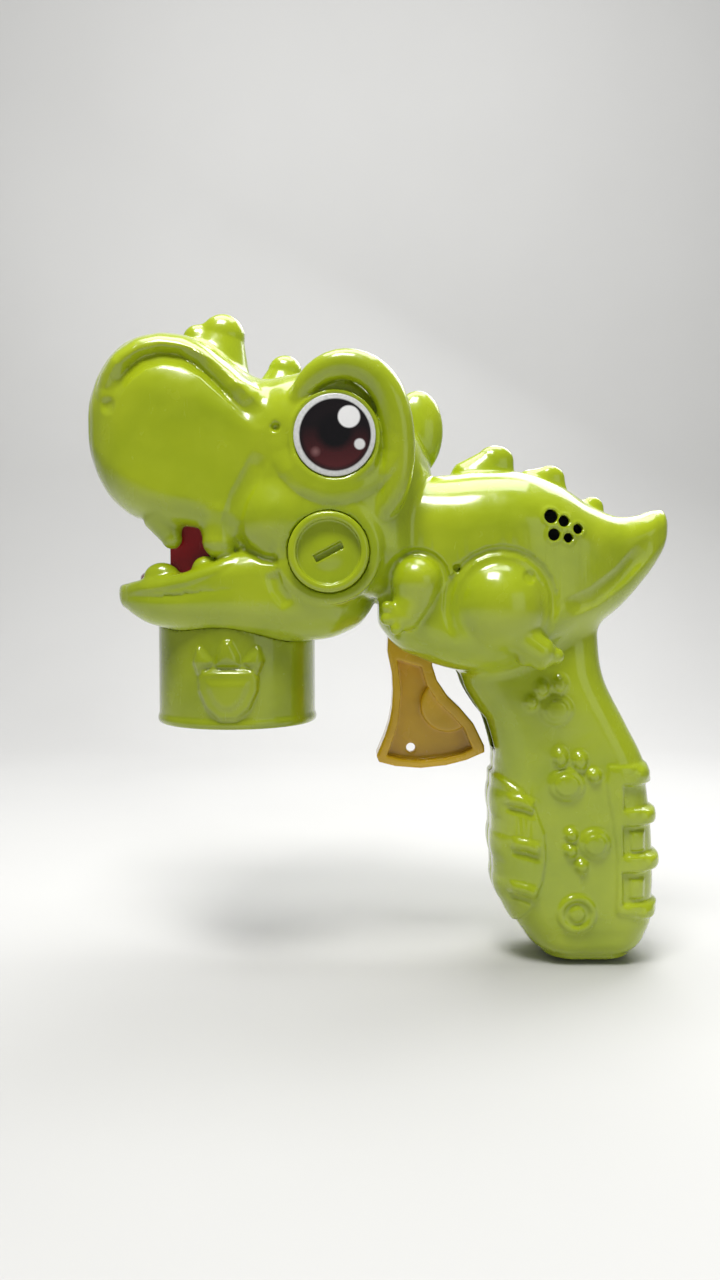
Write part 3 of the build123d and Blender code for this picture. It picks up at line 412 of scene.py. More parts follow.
def grip_relief(relief):
    high_toes = [(101.8, 8.2, 2.5, 1.1), (105.4, 12.8, 2.6, 1.2), (111.4, 14.4, 2.6, 1.2)]
    middle_toes = [(111.8, -10.9, 2.6, 1.3), (118.5, -12, 2.7, 1.2), (123.4, -17, 2.5, 0.9)]
    low_toes = [(115.9, -37.6, 2.3, 1), (115.7, -43, 2.4, 1), (119.6, -48.4, 2.4, 1)]
    paw(relief, (110.2, 5.6, 5.6, 0.9), high_toes)
    paw(relief, (114.2, -20.4, 6.1, 0.88), middle_toes)
    paw(relief, (124, -40.8, 5.3, 0.95), low_toes)
    relief.pad(118.2, -65.2, 6.7, 1.1, edge=1.4)
    relief.pad(118.2, -65.2, 4.6, -1.0, edge=1.4)
    relief.pad(118.2, -65.2, 2.6, 1.0, edge=1.4)
    front = [(84, -16), (92, -18.5), (98.5, -22.5), (103.6, -29), (106.6, -37), (107.3, -46), (106, -54),
             (102.6, -63), (97.6, -70), (84, -74)]
    relief.area(front, 1.2, edge=1.8)
    for x, z in ((94.6, -26), (96.4, -41), (95.6, -56.4)):
        relief.stroke([(x - 1, z + 0.6), (x + 4.4, z), (x + 9, z - 1.6)], 2.3, 1.2)
        relief.stroke([(x - 1, z - 2.6), (x + 4.4, z - 3.2), (x + 9, z - 4.8)], 1.6, -0.6)
        relief.stroke([(x - 16, z - 2), (x - 1.5, z - 2)], 5.0, 0.7)
    rear = [(154, -13.5), (128.6, -14), (127.6, -20), (130, -32), (131.8, -45), (131.6, -65), (154, -69)]
    relief.area(rear, 1.0, edge=1.6)
    for low, high in ((-29, -20.6), (-45, -34.6), (-62, -50.6)):
        window = [(134, low), (156, low), (156, high), (133.6, high)]
        relief.area(window, -1.9, edge=1.4)
    for z in (-40, -56.6):
        relief.area([(136.6, z - 3.2), (141.6, z - 3.2), (141.6, z + 3.2), (136.6, z + 3.2)], 0.9, edge=1.2)
    for x, z in ((141.5, -17), (144, -31.8), (145.6, -47.6), (143.6, -65.4)):
        relief.pad(x, z, 3.0, 0.9, edge=3.0, flatten=0.7)
    relief.stroke([(86, 4), (88, -6), (90.5, -15)], 3.0, -0.8)


# ---------------------------------------------------------------- casing
def hose(field, route, blend=1.0, steps=28):
    """A smooth bar through stations of x, z, t and radius."""
    stations = [(k, *row) for k, row in enumerate(route)]
    rows = list(zip(*along(stations, np.linspace(0, len(route) - 1, steps))))
    for (ax, az, at, ar), (bx, bz, bt, br) in zip(rows, rows[1:]):
        field.add(rod((ax, at, az), (bx, bt, bz), ar, br), blend)


def spike(field, base, tip, radii, squash=1.5, blend=2.0):
    """A blunt cone on the parting plane, flatter across than along."""
    cone = rod((base[0], 0, base[1]), (tip[0], 0, tip[1]), *radii)

    def distance(x, t, z):
        return cone.distance(x, t * squash, z) / squash ** 0.3

    field.add(Shape(cone.low, cone.high, distance), blend)


def head_forms(field):
    """Horns, brows, cheeks and the sockets round the eyes."""
    spike(field, (-7, 125), (-4.6, 134.8), (12, 7.8), squash=1.3)
    spike(field, (-12.5, 126), (-13.2, 133.6), (7.6, 5.4), squash=1.1)
    spike(field, (15.5, 113), (17.2, 122.4), (10.6, 6.0), squash=1.2)
    field.add(ball((63.2, 0, 101), (9.6, 6.4, 15.2), lean=-4), 1.6)
    field.add(ball((17, 24.5, 70), (14, 11.5, 14), lean=20), 2.6)
    field.cut(ball((38.5, 41.5, 103.5), (17.0, 13.0, 16.0), lean=-20), 2.0)
    brow = [(22.5, 105.5, 29.5, 2.4), (26.5, 112.5, 31, 3.5), (32.5, 117, 32, 4.2), (39.5, 118.3, 32.5, 4.6),
            (46.5, 116, 32.5, 4.8), (51.8, 110.5, 32, 5.0), (54.8, 103, 31.5, 5.0), (56.2, 94.5, 31, 4.8),
            (56.2, 86, 30.5, 4.5), (54.5, 78, 30, 4.1), (51, 71.5, 29, 3.4)]
    hose(field, brow, 1.2)
    field.add(disc(EYE_X, EYE_Z, EYE_R + 1.5, (20, EYE_SEAT + 0.4), rounding=0.6), 1.5)
    field.add(disc(CAP_X, CAP_Z, CAP_R + 3.8, (18, CAP_SEAT + 1.4), rounding=1.3), 2.5)


def body_forms(field):
    """Back plates, arms, thighs and toes."""
    spike(field, (85, 84), (90.6, 90.6), (10, 6.4))
    spike(field, (91.5, 83), (93.4, 91.8), (7.2, 4.2))
    spike(field, (105.4, 82.5), (110.2, 85.5), (7, 4.6))
    spike(field, (112, 79), (112.4, 85.4), (5.6, 3.4))
    spike(field, (122.5, 72.5), (125.6, 75), (6.2, 4.2))
    field.add(ball((62.3, 24.5, 49.2), (8.5, 8.4, 8.4)), 0.8)
    field.add(rod((61.5, 24.5, 44), (58.5, 25, 38), 6.8, 5.6), 1.4)
    for x, z in ((52.6, 40.6), (52.4, 36.8), (55.6, 33.6)):
        field.add(rod((57, 26, 38), (x, 28, z), 3.0, 2.2), 1.2)
    field.add(ball((90, 19.5, 41), (16, 15, 17), lean=15), 1.4)
    field.add(rod((96, 24.5, 31), (103, 25.5, 26), 6.0, 5.2), 1.4)
    for x, z in ((98.6, 23.6), (103.6, 22.2), (108.4, 24.4)):
        field.add(ball((x, 24.6, z), (3.0, 3.4, 2.8)), 1.6)


def teeth(field):
    field.add(rod((-21.5, 21, 70), (-18.8, 22.6, 63.2), 6.8, 3.4), 1.6)
    field.add(rod((-2, 23, 70), (-2.8, 25, 62.4), 8.2, 5.6), 1.8)
    field.add(ball((-22.4, 21.0, 50.2), (6.2, 4.2, 5.2), lean=-4), 1.6)
    field.add(ball((-7.6, 24.4, 53.0), (4.4, 3.6, 4.4), lean=20), 1.2)


def hull():
    """Outer surface of the casing's half, and the smoother surface that the hollow follows."""
    field = Field((-54, -1.5, -88.5), (156, 41, 148), CELL)
    field.add(loft_x(HEAD))
    field.add(loft_x(JAW), 3.0)
    field.add(loft_x(BODY), 2.5)
    field.add(loft_z(GRIP), 4.0)
    field.even_out()
    core = field.copy()
    head_forms(field)
    body_forms(field)
    mouth = plate(MOUTH, ACROSS)
    field.cut(mouth, 1.2)
    teeth(field)
    relief = Relief(field)
    head_relief(relief)
    body_relief(relief)
    grip_relief(relief)
    field.d -= relief.height[:, None, :]
    return field, core


def hollow(core, outer):
    """The inside, leaving the wall round the mouth, the screw bosses and the trigger's pin bosses."""
    inside = core.copy()
    inside.d = np.maximum(core.d + WALL, outer.d + LEAST_WALL)
    grown = plate(MOUTH, ACROSS)
    inside.apply(grown, lambda here, new: np.maximum(here, WALL - new), margin=WALL + 3)
    for x, z in SCREWS:
        inside.cut(disc(x, z, 4.0, (-2, 45)))
    inside.cut(disc(TRIGGER_X, TRIGGER_Z, 4.2, (18.4, 45)))
    inside.cut(disc(EYE_X, EYE_Z, EYE_R + 1.5, (EYE_SEAT - WALL, 45)))
    inside.cut(disc(CAP_X, CAP_Z, CAP_R + 1.5, (CAP_SEAT - 2.3, 45)))
    return inside


def casing_openings(field):
    """The liner's hole, the collar's hole, the trigger's slot, the pin holes and the face pockets."""
    field.cut(brick(LINER_X, (-5, LINER_T), LINER_Z))
    field.cut(upright(NECK_R + 0.35, (0, 37)))
    slot = [(TRIGGER_X, TRIGGER_Z + 2)] + arc_points(TRIGGER_X, TRIGGER_Z + 2, TRIGGER_SWEEP, -165, -45, 13)
    field.cut(plate(slot, (-5, TRIGGER_HALF + 0.8)), 0.4)
    field.cut(disc(TRIGGER_X, TRIGGER_Z, 1.55, (-5, 20.6)))
    field.cut(disc(EYE_X, EYE_Z, EYE_R + 0.35, (EYE_SEAT - 0.05, 50)))
    field.cut(disc(CAP_X, CAP_Z, CAP_R + 0.35, (CAP_SEAT - 0.05, 50)))


def parted(field):
    """Keeps the half beyond the parting plane, with a softened edge."""
    low, high = EVERYWHERE
    beyond = Shape(low, (high[0], PARTING, high[2]), lambda x, t, z: t - PARTING + 0 * x + 0 * z)
    field.cut(beyond, 0.5)


def door_plug(gap):
    x, z = DOOR_HALF_X - gap, DOOR_HALF_Z - gap
    span_x, span_z = (PACK_X - x, PACK_X + x), (PACK_Z - z, PACK_Z + z)
    return brick(span_x, (DOOR_T, 45), span_z, lean=PACK_LEAN, about=(PACK_X, PACK_Z), rounding=1.0)


def build_casing():
    outer, core = hull()
    inside = hollow(core, outer)
    shell = outer.copy()
    shell.d = np.maximum(outer.d, -inside.d)
    door = shell.copy()
    casing_openings(shell)
    parted(shell)
    left, right = shell.copy(), shell
    for x, z, radius in SPEAKER_HOLES:
        left.cut(disc(x, z, radius, (10, 45)), 0.3)
    for x, z in SCREWS:
        left.cut(disc(x, z, 1.4, (-2, 9.4)))
        right.cut(disc(x, z, 3.1, (5.0, 45)), 0.3)
        right.cut(disc(x, z, 1.7, (-2, 6.0)))
    right.cut(door_plug(0.0), 0.2)
    plug = door_plug(0.3)
    edge = Shape(*EVERYWHERE, plug.distance)
    door.apply(edge, lambda here, new: np.maximum(here, new), margin=0)
    build_mesh("left_half", left, "casing", "green_plastic", ["left_shell"], mirror=True)
    build_mesh("right_half", right, "casing", "green_plastic", ["right_shell"])
    build_mesh("battery_cover", door, "battery_door_body", "green_plastic", ["battery_door"])


# ---------------------------------------------------------------- meshes
def to_frame(points):
    """Millimetres from the collar's rim to metres in the frame."""
    points = np.array(points, float).reshape(-1, 3)
    points[:, 2] -= RIM
    return points / 1000.0


def link_mesh(name, points, faces):
    mesh = bpy.data.meshes.new(name)
    mesh.from_pydata(points.tolist(), [], faces)
    mesh.update()
    piece = bpy.data.objects.new(name, mesh)
    bpy.context.scene.collection.objects.link(piece)
    return piece


def build_mesh(name, field, body, slot, nodes, mirror=False):
    """The surface where the field is zero, thinned where it has too many triangles."""
    grid = openvdb.FloatGrid(12.0)
    grid.copyFromArray(np.ascontiguousarray(field.d))
    points, quads = grid.convertToQuads(isovalue=0.0)
    points = field.low + field.step * points.astype(float)
    if mirror:
        points[:, 1] *= -1
    piece = link_mesh(name, to_frame(points), quads.tolist())
    face_outwards(piece)
    triangles = 2 * len(quads)
    if triangles > MOST_TRIANGLES:
        thin = piece.modifiers.new("thin", "DECIMATE")
        thin.ratio = MOST_TRIANGLES / triangles
        apply_modifiers(piece)
    return dress(piece, body, slot, nodes)


def face_outwards(piece):
    """Turns the faces over if the mesh encloses a negative volume."""
    mesh = piece.data
    mesh.calc_loop_triangles()
    corners = np.zeros(len(mesh.loop_triangles) * 3, np.int32)
    mesh.loop_triangles.foreach_get("vertices", corners)
    places = np.zeros(len(mesh.vertices) * 3)
    mesh.vertices.foreach_get("co", places)
    a, b, c = places.reshape(-1, 3)[corners].reshape(-1, 3, 3).transpose(1, 0, 2)
    if np.einsum("ij,ij->i", a, np.cross(b, c)).sum() < 0:
        mesh.flip_normals()


def apply_modifiers(piece):
    graph = bpy.context.evaluated_depsgraph_get()
    mesh = bpy.data.meshes.new_from_object(piece.evaluated_get(graph))
    piece.modifiers.clear()
    piece.data = mesh


def dress(piece, body, slot, nodes, crease=38.0):
    """Smooth shading, material, body and slot."""
    piece.data.shade_smooth()
    piece.data.set_sharp_from_angle(angle=math.radians(crease))
    piece.data.materials.clear()
    piece.data.materials.append(MATERIALS[slot])
    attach(piece, body)
    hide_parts(*nodes)
    return piece


# ---------------------------------------------------------------- small moulded pieces
def build_collar():
    field = Field((-30.5, -30.5, -2), (30.5, 30.5, 45), FINE)
    field.add(upright(SKIRT_R, (0, 43), hollow=SKIRT_R - SKIRT_WALL, rounding=0.6))
    for shape in (loft_x(JAW), loft_x(HEAD)):
        field.apply(
            Shape((-31, -31, 20), (31, 31, 46), lambda x, t, z, s=shape: s.distance(x, abs(t), z)),
            lambda here, new: np.maximum(here, 0.1 - new), margin=0,
        )
    field.add(upright(SKIRT_R - 1, DISC_Z))
    field.add(upright(THREAD_R + 2.2, (RIM, 27), hollow=THREAD_R, rounding=0.3))
    field.add(upright(NECK_R, (28, NECK_TOP), hollow=NECK_R - 1.8))
    field.add(upright(NECK_R + 2.2, (37.3, NECK_TOP), hollow=NECK_R - 0.5))
    field.cut(upright(2.6, (20, 45)))
    field.cut(upright(18.1, (24, 27.3), hollow=13.9))
    add_paw(field)
    field.cut(upright(SKIRT_R - SKIRT_WALL + 0.25, (-3, 1.2)), 0.8)
    # collar_plastic is the casing's lime darkened: painted shade.
    build_mesh("collar", field, "casing", "collar_plastic", ["bottle_collar"])


def add_paw(field):
    """A raised paw print on each side of the collar's skirt, and a bead round its lower rim."""
    _, (x, t, z) = field.window(field.low, field.low + field.step * np.array(field.count))
    radius = np.hypot(x, t)
    around = np.arctan2(x, abs(t)) * SKIRT_R
    pad = [(-8.0, 19), (8.0, 19), (9.3, 17.2), (9.2, 13), (6.6, 7.4), (2.6, 3.8), (-2.6, 3.8), (-6.6, 7.4),
           (-9.2, 13), (-9.3, 17.2)]
    toes = [
        [(-3.2, 21.8), (3.2, 21.8), (2.8, 24.4), (0.6, 28.8), (-0.6, 28.8), (-2.8, 24.4)],
        [(-9.8, 26.8), (-6, 22.4), (-9.8, 19.2), (-11.2, 22.6)],
        [(9.8, 26.8), (6, 22.4), (9.8, 19.2), (11.2, 22.6)],
    ]
    height = np.zeros(np.broadcast_shapes(around.shape, z.shape))
    for outline, inner in [(pad, -3.2)] + [(toe, -1.0) for toe in toes]:
        out = outline_distance(outline, around, z)
        for grow, rise, edge in ((0.5, 1.5, 2.2), (inner, 0.5, 2.4)):
            share = np.clip(0.5 - (out - grow) / edge, 0, 1)
            height += rise * share * share * (3 - 2 * share)
    height = np.maximum(height, 0.5 * np.clip(1 - ((z - 1.6) / 1.6) ** 2, 0, 1))
    field.d -= (height * (radius > SKIRT_R - 1.2)).astype(np.float32)


def build_trigger():
    field = Field((46, -19, -19), (92, 19, 72), FINE)
    outline = [
        (53.4, 30.0), (53.2, 24.5), (54.8, 17), (55.1, 10.8), (54.8, 5), (53.9, 0), (52.4, -5),
        (49.4, -12.2), (50.2, -14.4), (56, -15.9), (65, -16.6), (74, -15.6), (81, -13.8), (87.6, -10.9),
        (87.4, -8.6), (83.6, -0.8), (79, 4.6), (74.4, 9.0), (70.7, 14.5), (68.9, 20), (69.5, 25.6),
        (85.5, 25.6), (85.5, 32.6), (69, 32.6), (66, 36.6), (58, 36.6),
    ]
    field.add(plate(outline, (-TRIGGER_HALF, TRIGGER_HALF), rounding=1.0))
    recess = [
        (56.6, 21.8), (58.0, 11), (57.0, -0.5), (54.6, -8.2), (53.1, -12.0), (58, -13.3), (65, -13.8),
        (74, -12.8), (80, -11.3), (83.2, -9.6), (80.2, -2.4), (76, 2.2), (71, 6.8), (67.0, 13), (65.2, 19.2),
    ]
    for side in (-1, 1):
        field.cut(plate(recess, sorted((side * 1.6, side * 10)), rounding=0.3), 0.5)
        field.add(disc(74.6, 5.6, 9.6, sorted((side * 1.0, side * 4.8)), rounding=1.0), 0.3)
    bounds = plate(outline, (-TRIGGER_HALF, TRIGGER_HALF), rounding=1.0)
    field.apply(bounds, lambda here, new: np.maximum(here, new))
    field.add(disc(TRIGGER_X, TRIGGER_Z, 4.0, (TRIGGER_HALF - 0.5, ARM_T[1]), rounding=0.3))
    field.add(disc(TRIGGER_X, TRIGGER_Z, 3.2, (-ARM_T[1], 0.5 - TRIGGER_HALF), rounding=0.3))
    arm_x, arm_z = (TRIGGER_X - 3.2, TRIGGER_X + 3.2), (TRIGGER_Z, TRIGGER_Z + ARM_R + 5.2)
    about = (TRIGGER_X, TRIGGER_Z)
    field.add(brick(arm_x, ARM_T, arm_z, lean=-ARM_LEAN, about=about, rounding=0.3))
    slot_x = (TRIGGER_X - SLOT_HALF, TRIGGER_X + SLOT_HALF)
    slot_z = (TRIGGER_Z + ARM_R - 3, TRIGGER_Z + ARM_R + 2.6)
    field.cut(brick(slot_x, (14, 19), slot_z, lean=-ARM_LEAN, about=about))
    field.cut(disc(61.7, -9.9, 1.6, (-10, 10)), 0.3)
    field.cut(disc(TRIGGER_X, TRIGGER_Z, 1.55, (-20, 20)))
    build_mesh("trigger_lever", field, "trigger_body", "trigger_plastic", ["trigger"])


def build_cap(side, name, node):
    """A cheek cap: raised rim, dished face and a coin slot."""
    top = CAP_SEAT + CAP_THICK
    field = Field((CAP_X - 15, CAP_SEAT - 1, CAP_Z - 15), (CAP_X + 15, top + 2, CAP_Z + 15), 0.35)
    field.add(disc(CAP_X, CAP_Z, CAP_R, (CAP_SEAT, top), rounding=1.2))
    field.cut(disc(CAP_X, CAP_Z, CAP_R - 2.6, (CAP_SEAT + 2.6, top + 4), rounding=0.5), 0.8)
    field.add(ball((CAP_X, CAP_SEAT - 8, CAP_Z), (14, 11.4, 14)), 0.6)
    rim = disc(CAP_X, CAP_Z, CAP_R, (CAP_SEAT, top), rounding=1.2)
    field.apply(rim, lambda here, new: np.maximum(here, new))
    field.cut(
        brick((CAP_X - 5.0, CAP_X + 5.0), (CAP_SEAT + 0.9, top + 5), (CAP_Z - 1.2, CAP_Z + 1.2), lean=28,
              about=(CAP_X, CAP_Z), rounding=0.6), 0.4,
    )
    build_mesh(name, field, "casing", "cap_plastic", [node], mirror=side < 0)


def build_tongue():
    """The tongue on the mouth's floor."""
    field = Field((-37, -14, 46), (-18, 14, 57), FINE)
    field.add(ball((-26.8, 0, 51.0), (7.2, 10.8, 3.1), lean=6))
    field.cut(ball((-27.5, 0, 55.3), (7.5, 1.2, 2.0), lean=6), 0.8)
    floor = [(-40, 48.85), (-20.1, 51.25), (-20.1, 40), (-40, 40)]
    field.cut(plate(floor, (-20, 20)))
    front = brick((-20.15, -10), (-20, 20), (40, 60))
    field.cut(front)
    build_mesh("tongue_pad", field, "casing", "red_plastic", ["tongue"])


def lathe(name, profile, centre, side, steps=96):
    """A piece turned about a line parallel to Y. The profile is a list of radius and T."""
    points, faces = [], []
    for radius, t in profile:
        for k in range(steps):
            a = 2 * math.pi * k / steps
            points.append((centre[0] + radius * math.cos(a), side * t, centre[1] + radius * math.sin(a)))
    for row in range(len(profile) - 1):
        for k in range(steps):
            a, b = row * steps + k, row * steps + (k + 1) % steps
            faces.append((a, b, b + steps, a + steps))
    faces.append(tuple(range(steps))[::-1])
    faces.append(tuple((len(profile) - 1) * steps + k for k in range(steps)))
    piece = link_mesh(name, to_frame(points), faces)
    face_outwards(piece)
    return piece


def build_eye(side, name, node):
    """A thin disc with a slightly domed, printed face."""
    rise, edge = 0.9, 0.35
    inner = EYE_R - edge
    dome = [(inner * (1 - s), EYE_FRONT + rise * (1 - (1 - s) ** 2)) for s in np.linspace(0, 0.98, 16)]
    profile = [(EYE_R - 0.2, EYE_SEAT), (EYE_R, EYE_SEAT + 0.2)]
    profile += [(EYE_R, EYE_FRONT - edge), (EYE_R - 0.1, EYE_FRONT - 0.1)]
    piece = lathe(name, profile + dome, (EYE_X, EYE_Z), side)
    dress(piece, "casing", "eye_print", [node], crease=60)


def build_spring():
    """A wound spring between the trigger's arm and the bracket."""
    sides, steps = 8, SPRING_TURNS * 24
    low, high = SPRING_Z
    points = []
    for k in range(steps + 1):
        a = 2 * math.pi * SPRING_TURNS * k / steps
        z = low + WIRE_R + (high - low - 2 * WIRE_R) * k / steps
        for n in range(sides):
            b = 2 * math.pi * n / sides
            out = SPRING_R + WIRE_R * math.cos(b)
            points.append((SPRING_X + out * math.cos(a), out * math.sin(a), z + WIRE_R * math.sin(b)))
    faces = []
    for k in range(steps):
        for n in range(sides):
            a, b = k * sides + n, k * sides + (n + 1) % sides
            faces.append((a, b, b + sides, a + sides))
    faces.append(tuple(range(sides))[::-1])
    faces.append(tuple(steps * sides + n for n in range(sides)))
    piece = link_mesh("spring_coil", to_frame(points), faces)
    face_outwards(piece)
    dress(piece, "casing", "steel", ["trigger_spring"])
    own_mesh(piece)


# ---------------------------------------------------------------- materials
class Paint:
    """A material under construction: its nodes, and short ways to add them."""

    def __init__(self, name):
        self.material = bpy.data.materials.new(name)
        self.material.use_nodes = True
        self.tree = self.material.node_tree
        self.shader = self.tree.nodes["Principled BSDF"]
        self.place = self.node("ShaderNodeTexCoord").outputs["Object"]

    def node(self, kind, **values):
        made = self.tree.nodes.new(kind)
        for key, value in values.items():
            setattr(made, key, value)
        return made

    def join(self, start, end):
        self.tree.links.new(start, end)

    def noise(self, scale, detail=3.0, roughness=0.5, stretch=None, distortion=0.0):
        made = self.node("ShaderNodeTexNoise")
        made.inputs["Scale"].default_value = scale
        made.inputs["Detail"].default_value = detail
        made.inputs["Roughness"].default_value = roughness
        made.inputs["Distortion"].default_value = distortion
        source = self.place
        if stretch:
            mapping = self.node("ShaderNodeMapping")
            mapping.inputs["Scale"].default_value = stretch
            self.join(source, mapping.inputs["Vector"])
            source = mapping.outputs["Vector"]
        self.join(source, made.inputs["Vector"])
        return made.outputs["Fac"]

    def ramp(self, value, stops):
        made = self.node("ShaderNodeValToRGB")
        elements = made.color_ramp.elements
        while len(elements) < len(stops):
            elements.new(0.5)
        for element, (place, colour) in zip(elements, stops):
            element.position = place
            element.color = (*colour, 1)
        self.join(value, made.inputs["Fac"])
        return made.outputs["Color"]

    def range(self, value, low, high, start=0.3, end=0.7):
        made = self.node("ShaderNodeMapRange")
        for key, number in (("From Min", start), ("From Max", end), ("To Min", low), ("To Max", high)):
            made.inputs[key].default_value = number
        self.join(value, made.inputs["Value"])
        return made.outputs["Result"]

    def math(self, operation, a, b=None):
        made = self.node("ShaderNodeMath", operation=operation)
        for socket, value in zip(made.inputs, (a, b)):
            if isinstance(value, (int, float)):
                socket.default_value = value
            elif value is not None:
                self.join(value, socket)
        return made.outputs[0]

    def mix(self, share, a, b):
        made = self.node("ShaderNodeMix", data_type="RGBA")
        for key, value in (("Factor", share), ("A", a), ("B", b)):
            socket = next(s for s in made.inputs if s.name == key and (key == "Factor" or s.type == "RGBA"))
            if isinstance(value, (int, float)):
                socket.default_value = value
            elif isinstance(value, tuple):
                socket.default_value = (*value, 1)
            else:
                self.join(value, socket)
        return next(s for s in made.outputs if s.type == "RGBA")

    def bump(self, height, strength, distance):
        made = self.node("ShaderNodeBump")
        made.inputs["Strength"].default_value = strength
        made.inputs["Distance"].default_value = distance
        self.join(height, made.inputs["Height"])
        self.join(made.outputs["Normal"], self.shader.inputs["Normal"])

    def colour(self, value):
        self.join(value, self.shader.inputs["Base Color"])

    def roughness(self, value):
        self.join(value, self.shader.inputs["Roughness"])

    def set(self, **values):
        for key, value in values.items():
            self.shader.inputs[key.replace("_", " ")].default_value = value


def moulded(name, main, deep, coat=0.6):
    """Injection-moulded plastic: flow shading, a faint ripple in the gloss, handling scuffs and specks."""
    paint = Paint(name)
    flow = paint.noise(28, detail=2.0, distortion=0.8)
    cloud = paint.noise(140, detail=4.0)
    colour = paint.ramp(flow, [(0.32, deep), (0.66, main)])
    tint = tuple(min(1.0, c * 1.06 + 0.004) for c in main)
    colour = paint.mix(paint.range(cloud, 0.0, 0.35, 0.45, 0.75), colour, tint)
    fine = paint.noise(2600, detail=2.0)
    scuff = paint.noise(420, detail=6.0, roughness=0.7, stretch=(1.0, 1.0, 0.18), distortion=0.4)
    mark = paint.range(scuff, 0.0, 0.22, 0.66, 0.74)
    colour = paint.mix(mark, colour, tuple(min(1.0, c * 1.25 + 0.02) for c in main))
    paint.colour(colour)
    gloss = paint.range(cloud, 0.16, 0.3, 0.3, 0.72)
    paint.roughness(paint.math("ADD", gloss, paint.range(scuff, 0.0, 0.16, 0.62, 0.76)))
    ripple = paint.math("ADD", paint.noise(190, detail=1.0), paint.math("MULTIPLY", fine, 0.08))
    paint.bump(ripple, 0.25, 0.0005)
    paint.set(Coat_Weight=coat, Coat_Roughness=0.08, IOR=1.5, Specular_IOR_Level=0.5)
    return paint.material


def satin(name, main, rough=(0.35, 0.5), grain=1400, strength=0.2):
    """Plain moulded plastic or rubber inside the casing, with a fine spark-eroded grain."""
    paint = Paint(name)
    cloud = paint.noise(220, detail=4.0)
    colour = paint.ramp(cloud, [(0.3, tuple(c * 0.86 for c in main)), (0.7, main)])
    paint.colour(colour)
    paint.roughness(paint.range(cloud, rough[0], rough[1]))
    paint.bump(paint.noise(grain, detail=3.0), strength, 0.0003)
    paint.set(Specular_IOR_Level=0.45)
    return paint.material


def metal(name, main, stretch=(1.0, 0.05, 1.0)):
    """Drawn or rolled metal, with marks along one direction and faint stains."""
    paint = Paint(name)
    brush = paint.noise(3000, detail=4.0, stretch=stretch)
    stain = paint.noise(160, detail=4.0)
    paint.colour(paint.ramp(stain, [(0.35, tuple(c * 0.78 for c in main)), (0.65, main)]))
    paint.roughness(paint.range(brush, 0.2, 0.38))
    paint.bump(brush, 0.12, 0.0002)
    paint.set(Metallic=1.0)
    return paint.material


def tube_material():
    """Soft translucent tube."""
    paint = Paint("clear_tube")
    cloud = paint.noise(300, detail=3.0)
    paint.colour(paint.ramp(cloud, [(0.3, (0.70, 0.76, 0.80)), (0.7, (0.86, 0.9, 0.92))]))
    paint.roughness(paint.range(cloud, 0.12, 0.28))
    paint.bump(paint.noise(900), 0.1, 0.0003)
    paint.set(Transmission_Weight=0.55, IOR=1.42)
    return paint.material


def lamp_material():
    paint = Paint("lamp_plastic")
    cloud = paint.noise(500, detail=3.0)
    paint.colour(paint.ramp(cloud, [(0.3, (0.86, 0.84, 0.78)), (0.7, (0.95, 0.94, 0.9))]))
    paint.roughness(paint.range(cloud, 0.05, 0.14))
    paint.set(Transmission_Weight=0.6, IOR=1.5)
    return paint.material


def board_material():
    """Circuit board: lacquered green with copper traces."""
    paint = Paint("board")
    brick_node = paint.node("ShaderNodeTexBrick")
    brick_node.inputs["Scale"].default_value = 160
    brick_node.inputs["Mortar Size"].default_value = 0.05
    mapping = paint.node("ShaderNodeMapping")
    mapping.inputs["Rotation"].default_value = (math.radians(90), 0, 0)
    paint.join(paint.place, mapping.inputs["Vector"])
    paint.join(mapping.outputs["Vector"], brick_node.inputs["Vector"])
    cloud = paint.noise(600, detail=3.0)
    base = paint.ramp(cloud, [(0.3, (0.01, 0.10, 0.03)), (0.7, (0.02, 0.17, 0.06))])
    paint.colour(paint.mix(brick_node.outputs["Fac"], base, (0.09, 0.32, 0.10)))
    paint.roughness(paint.range(cloud, 0.25, 0.4))
    return paint.material


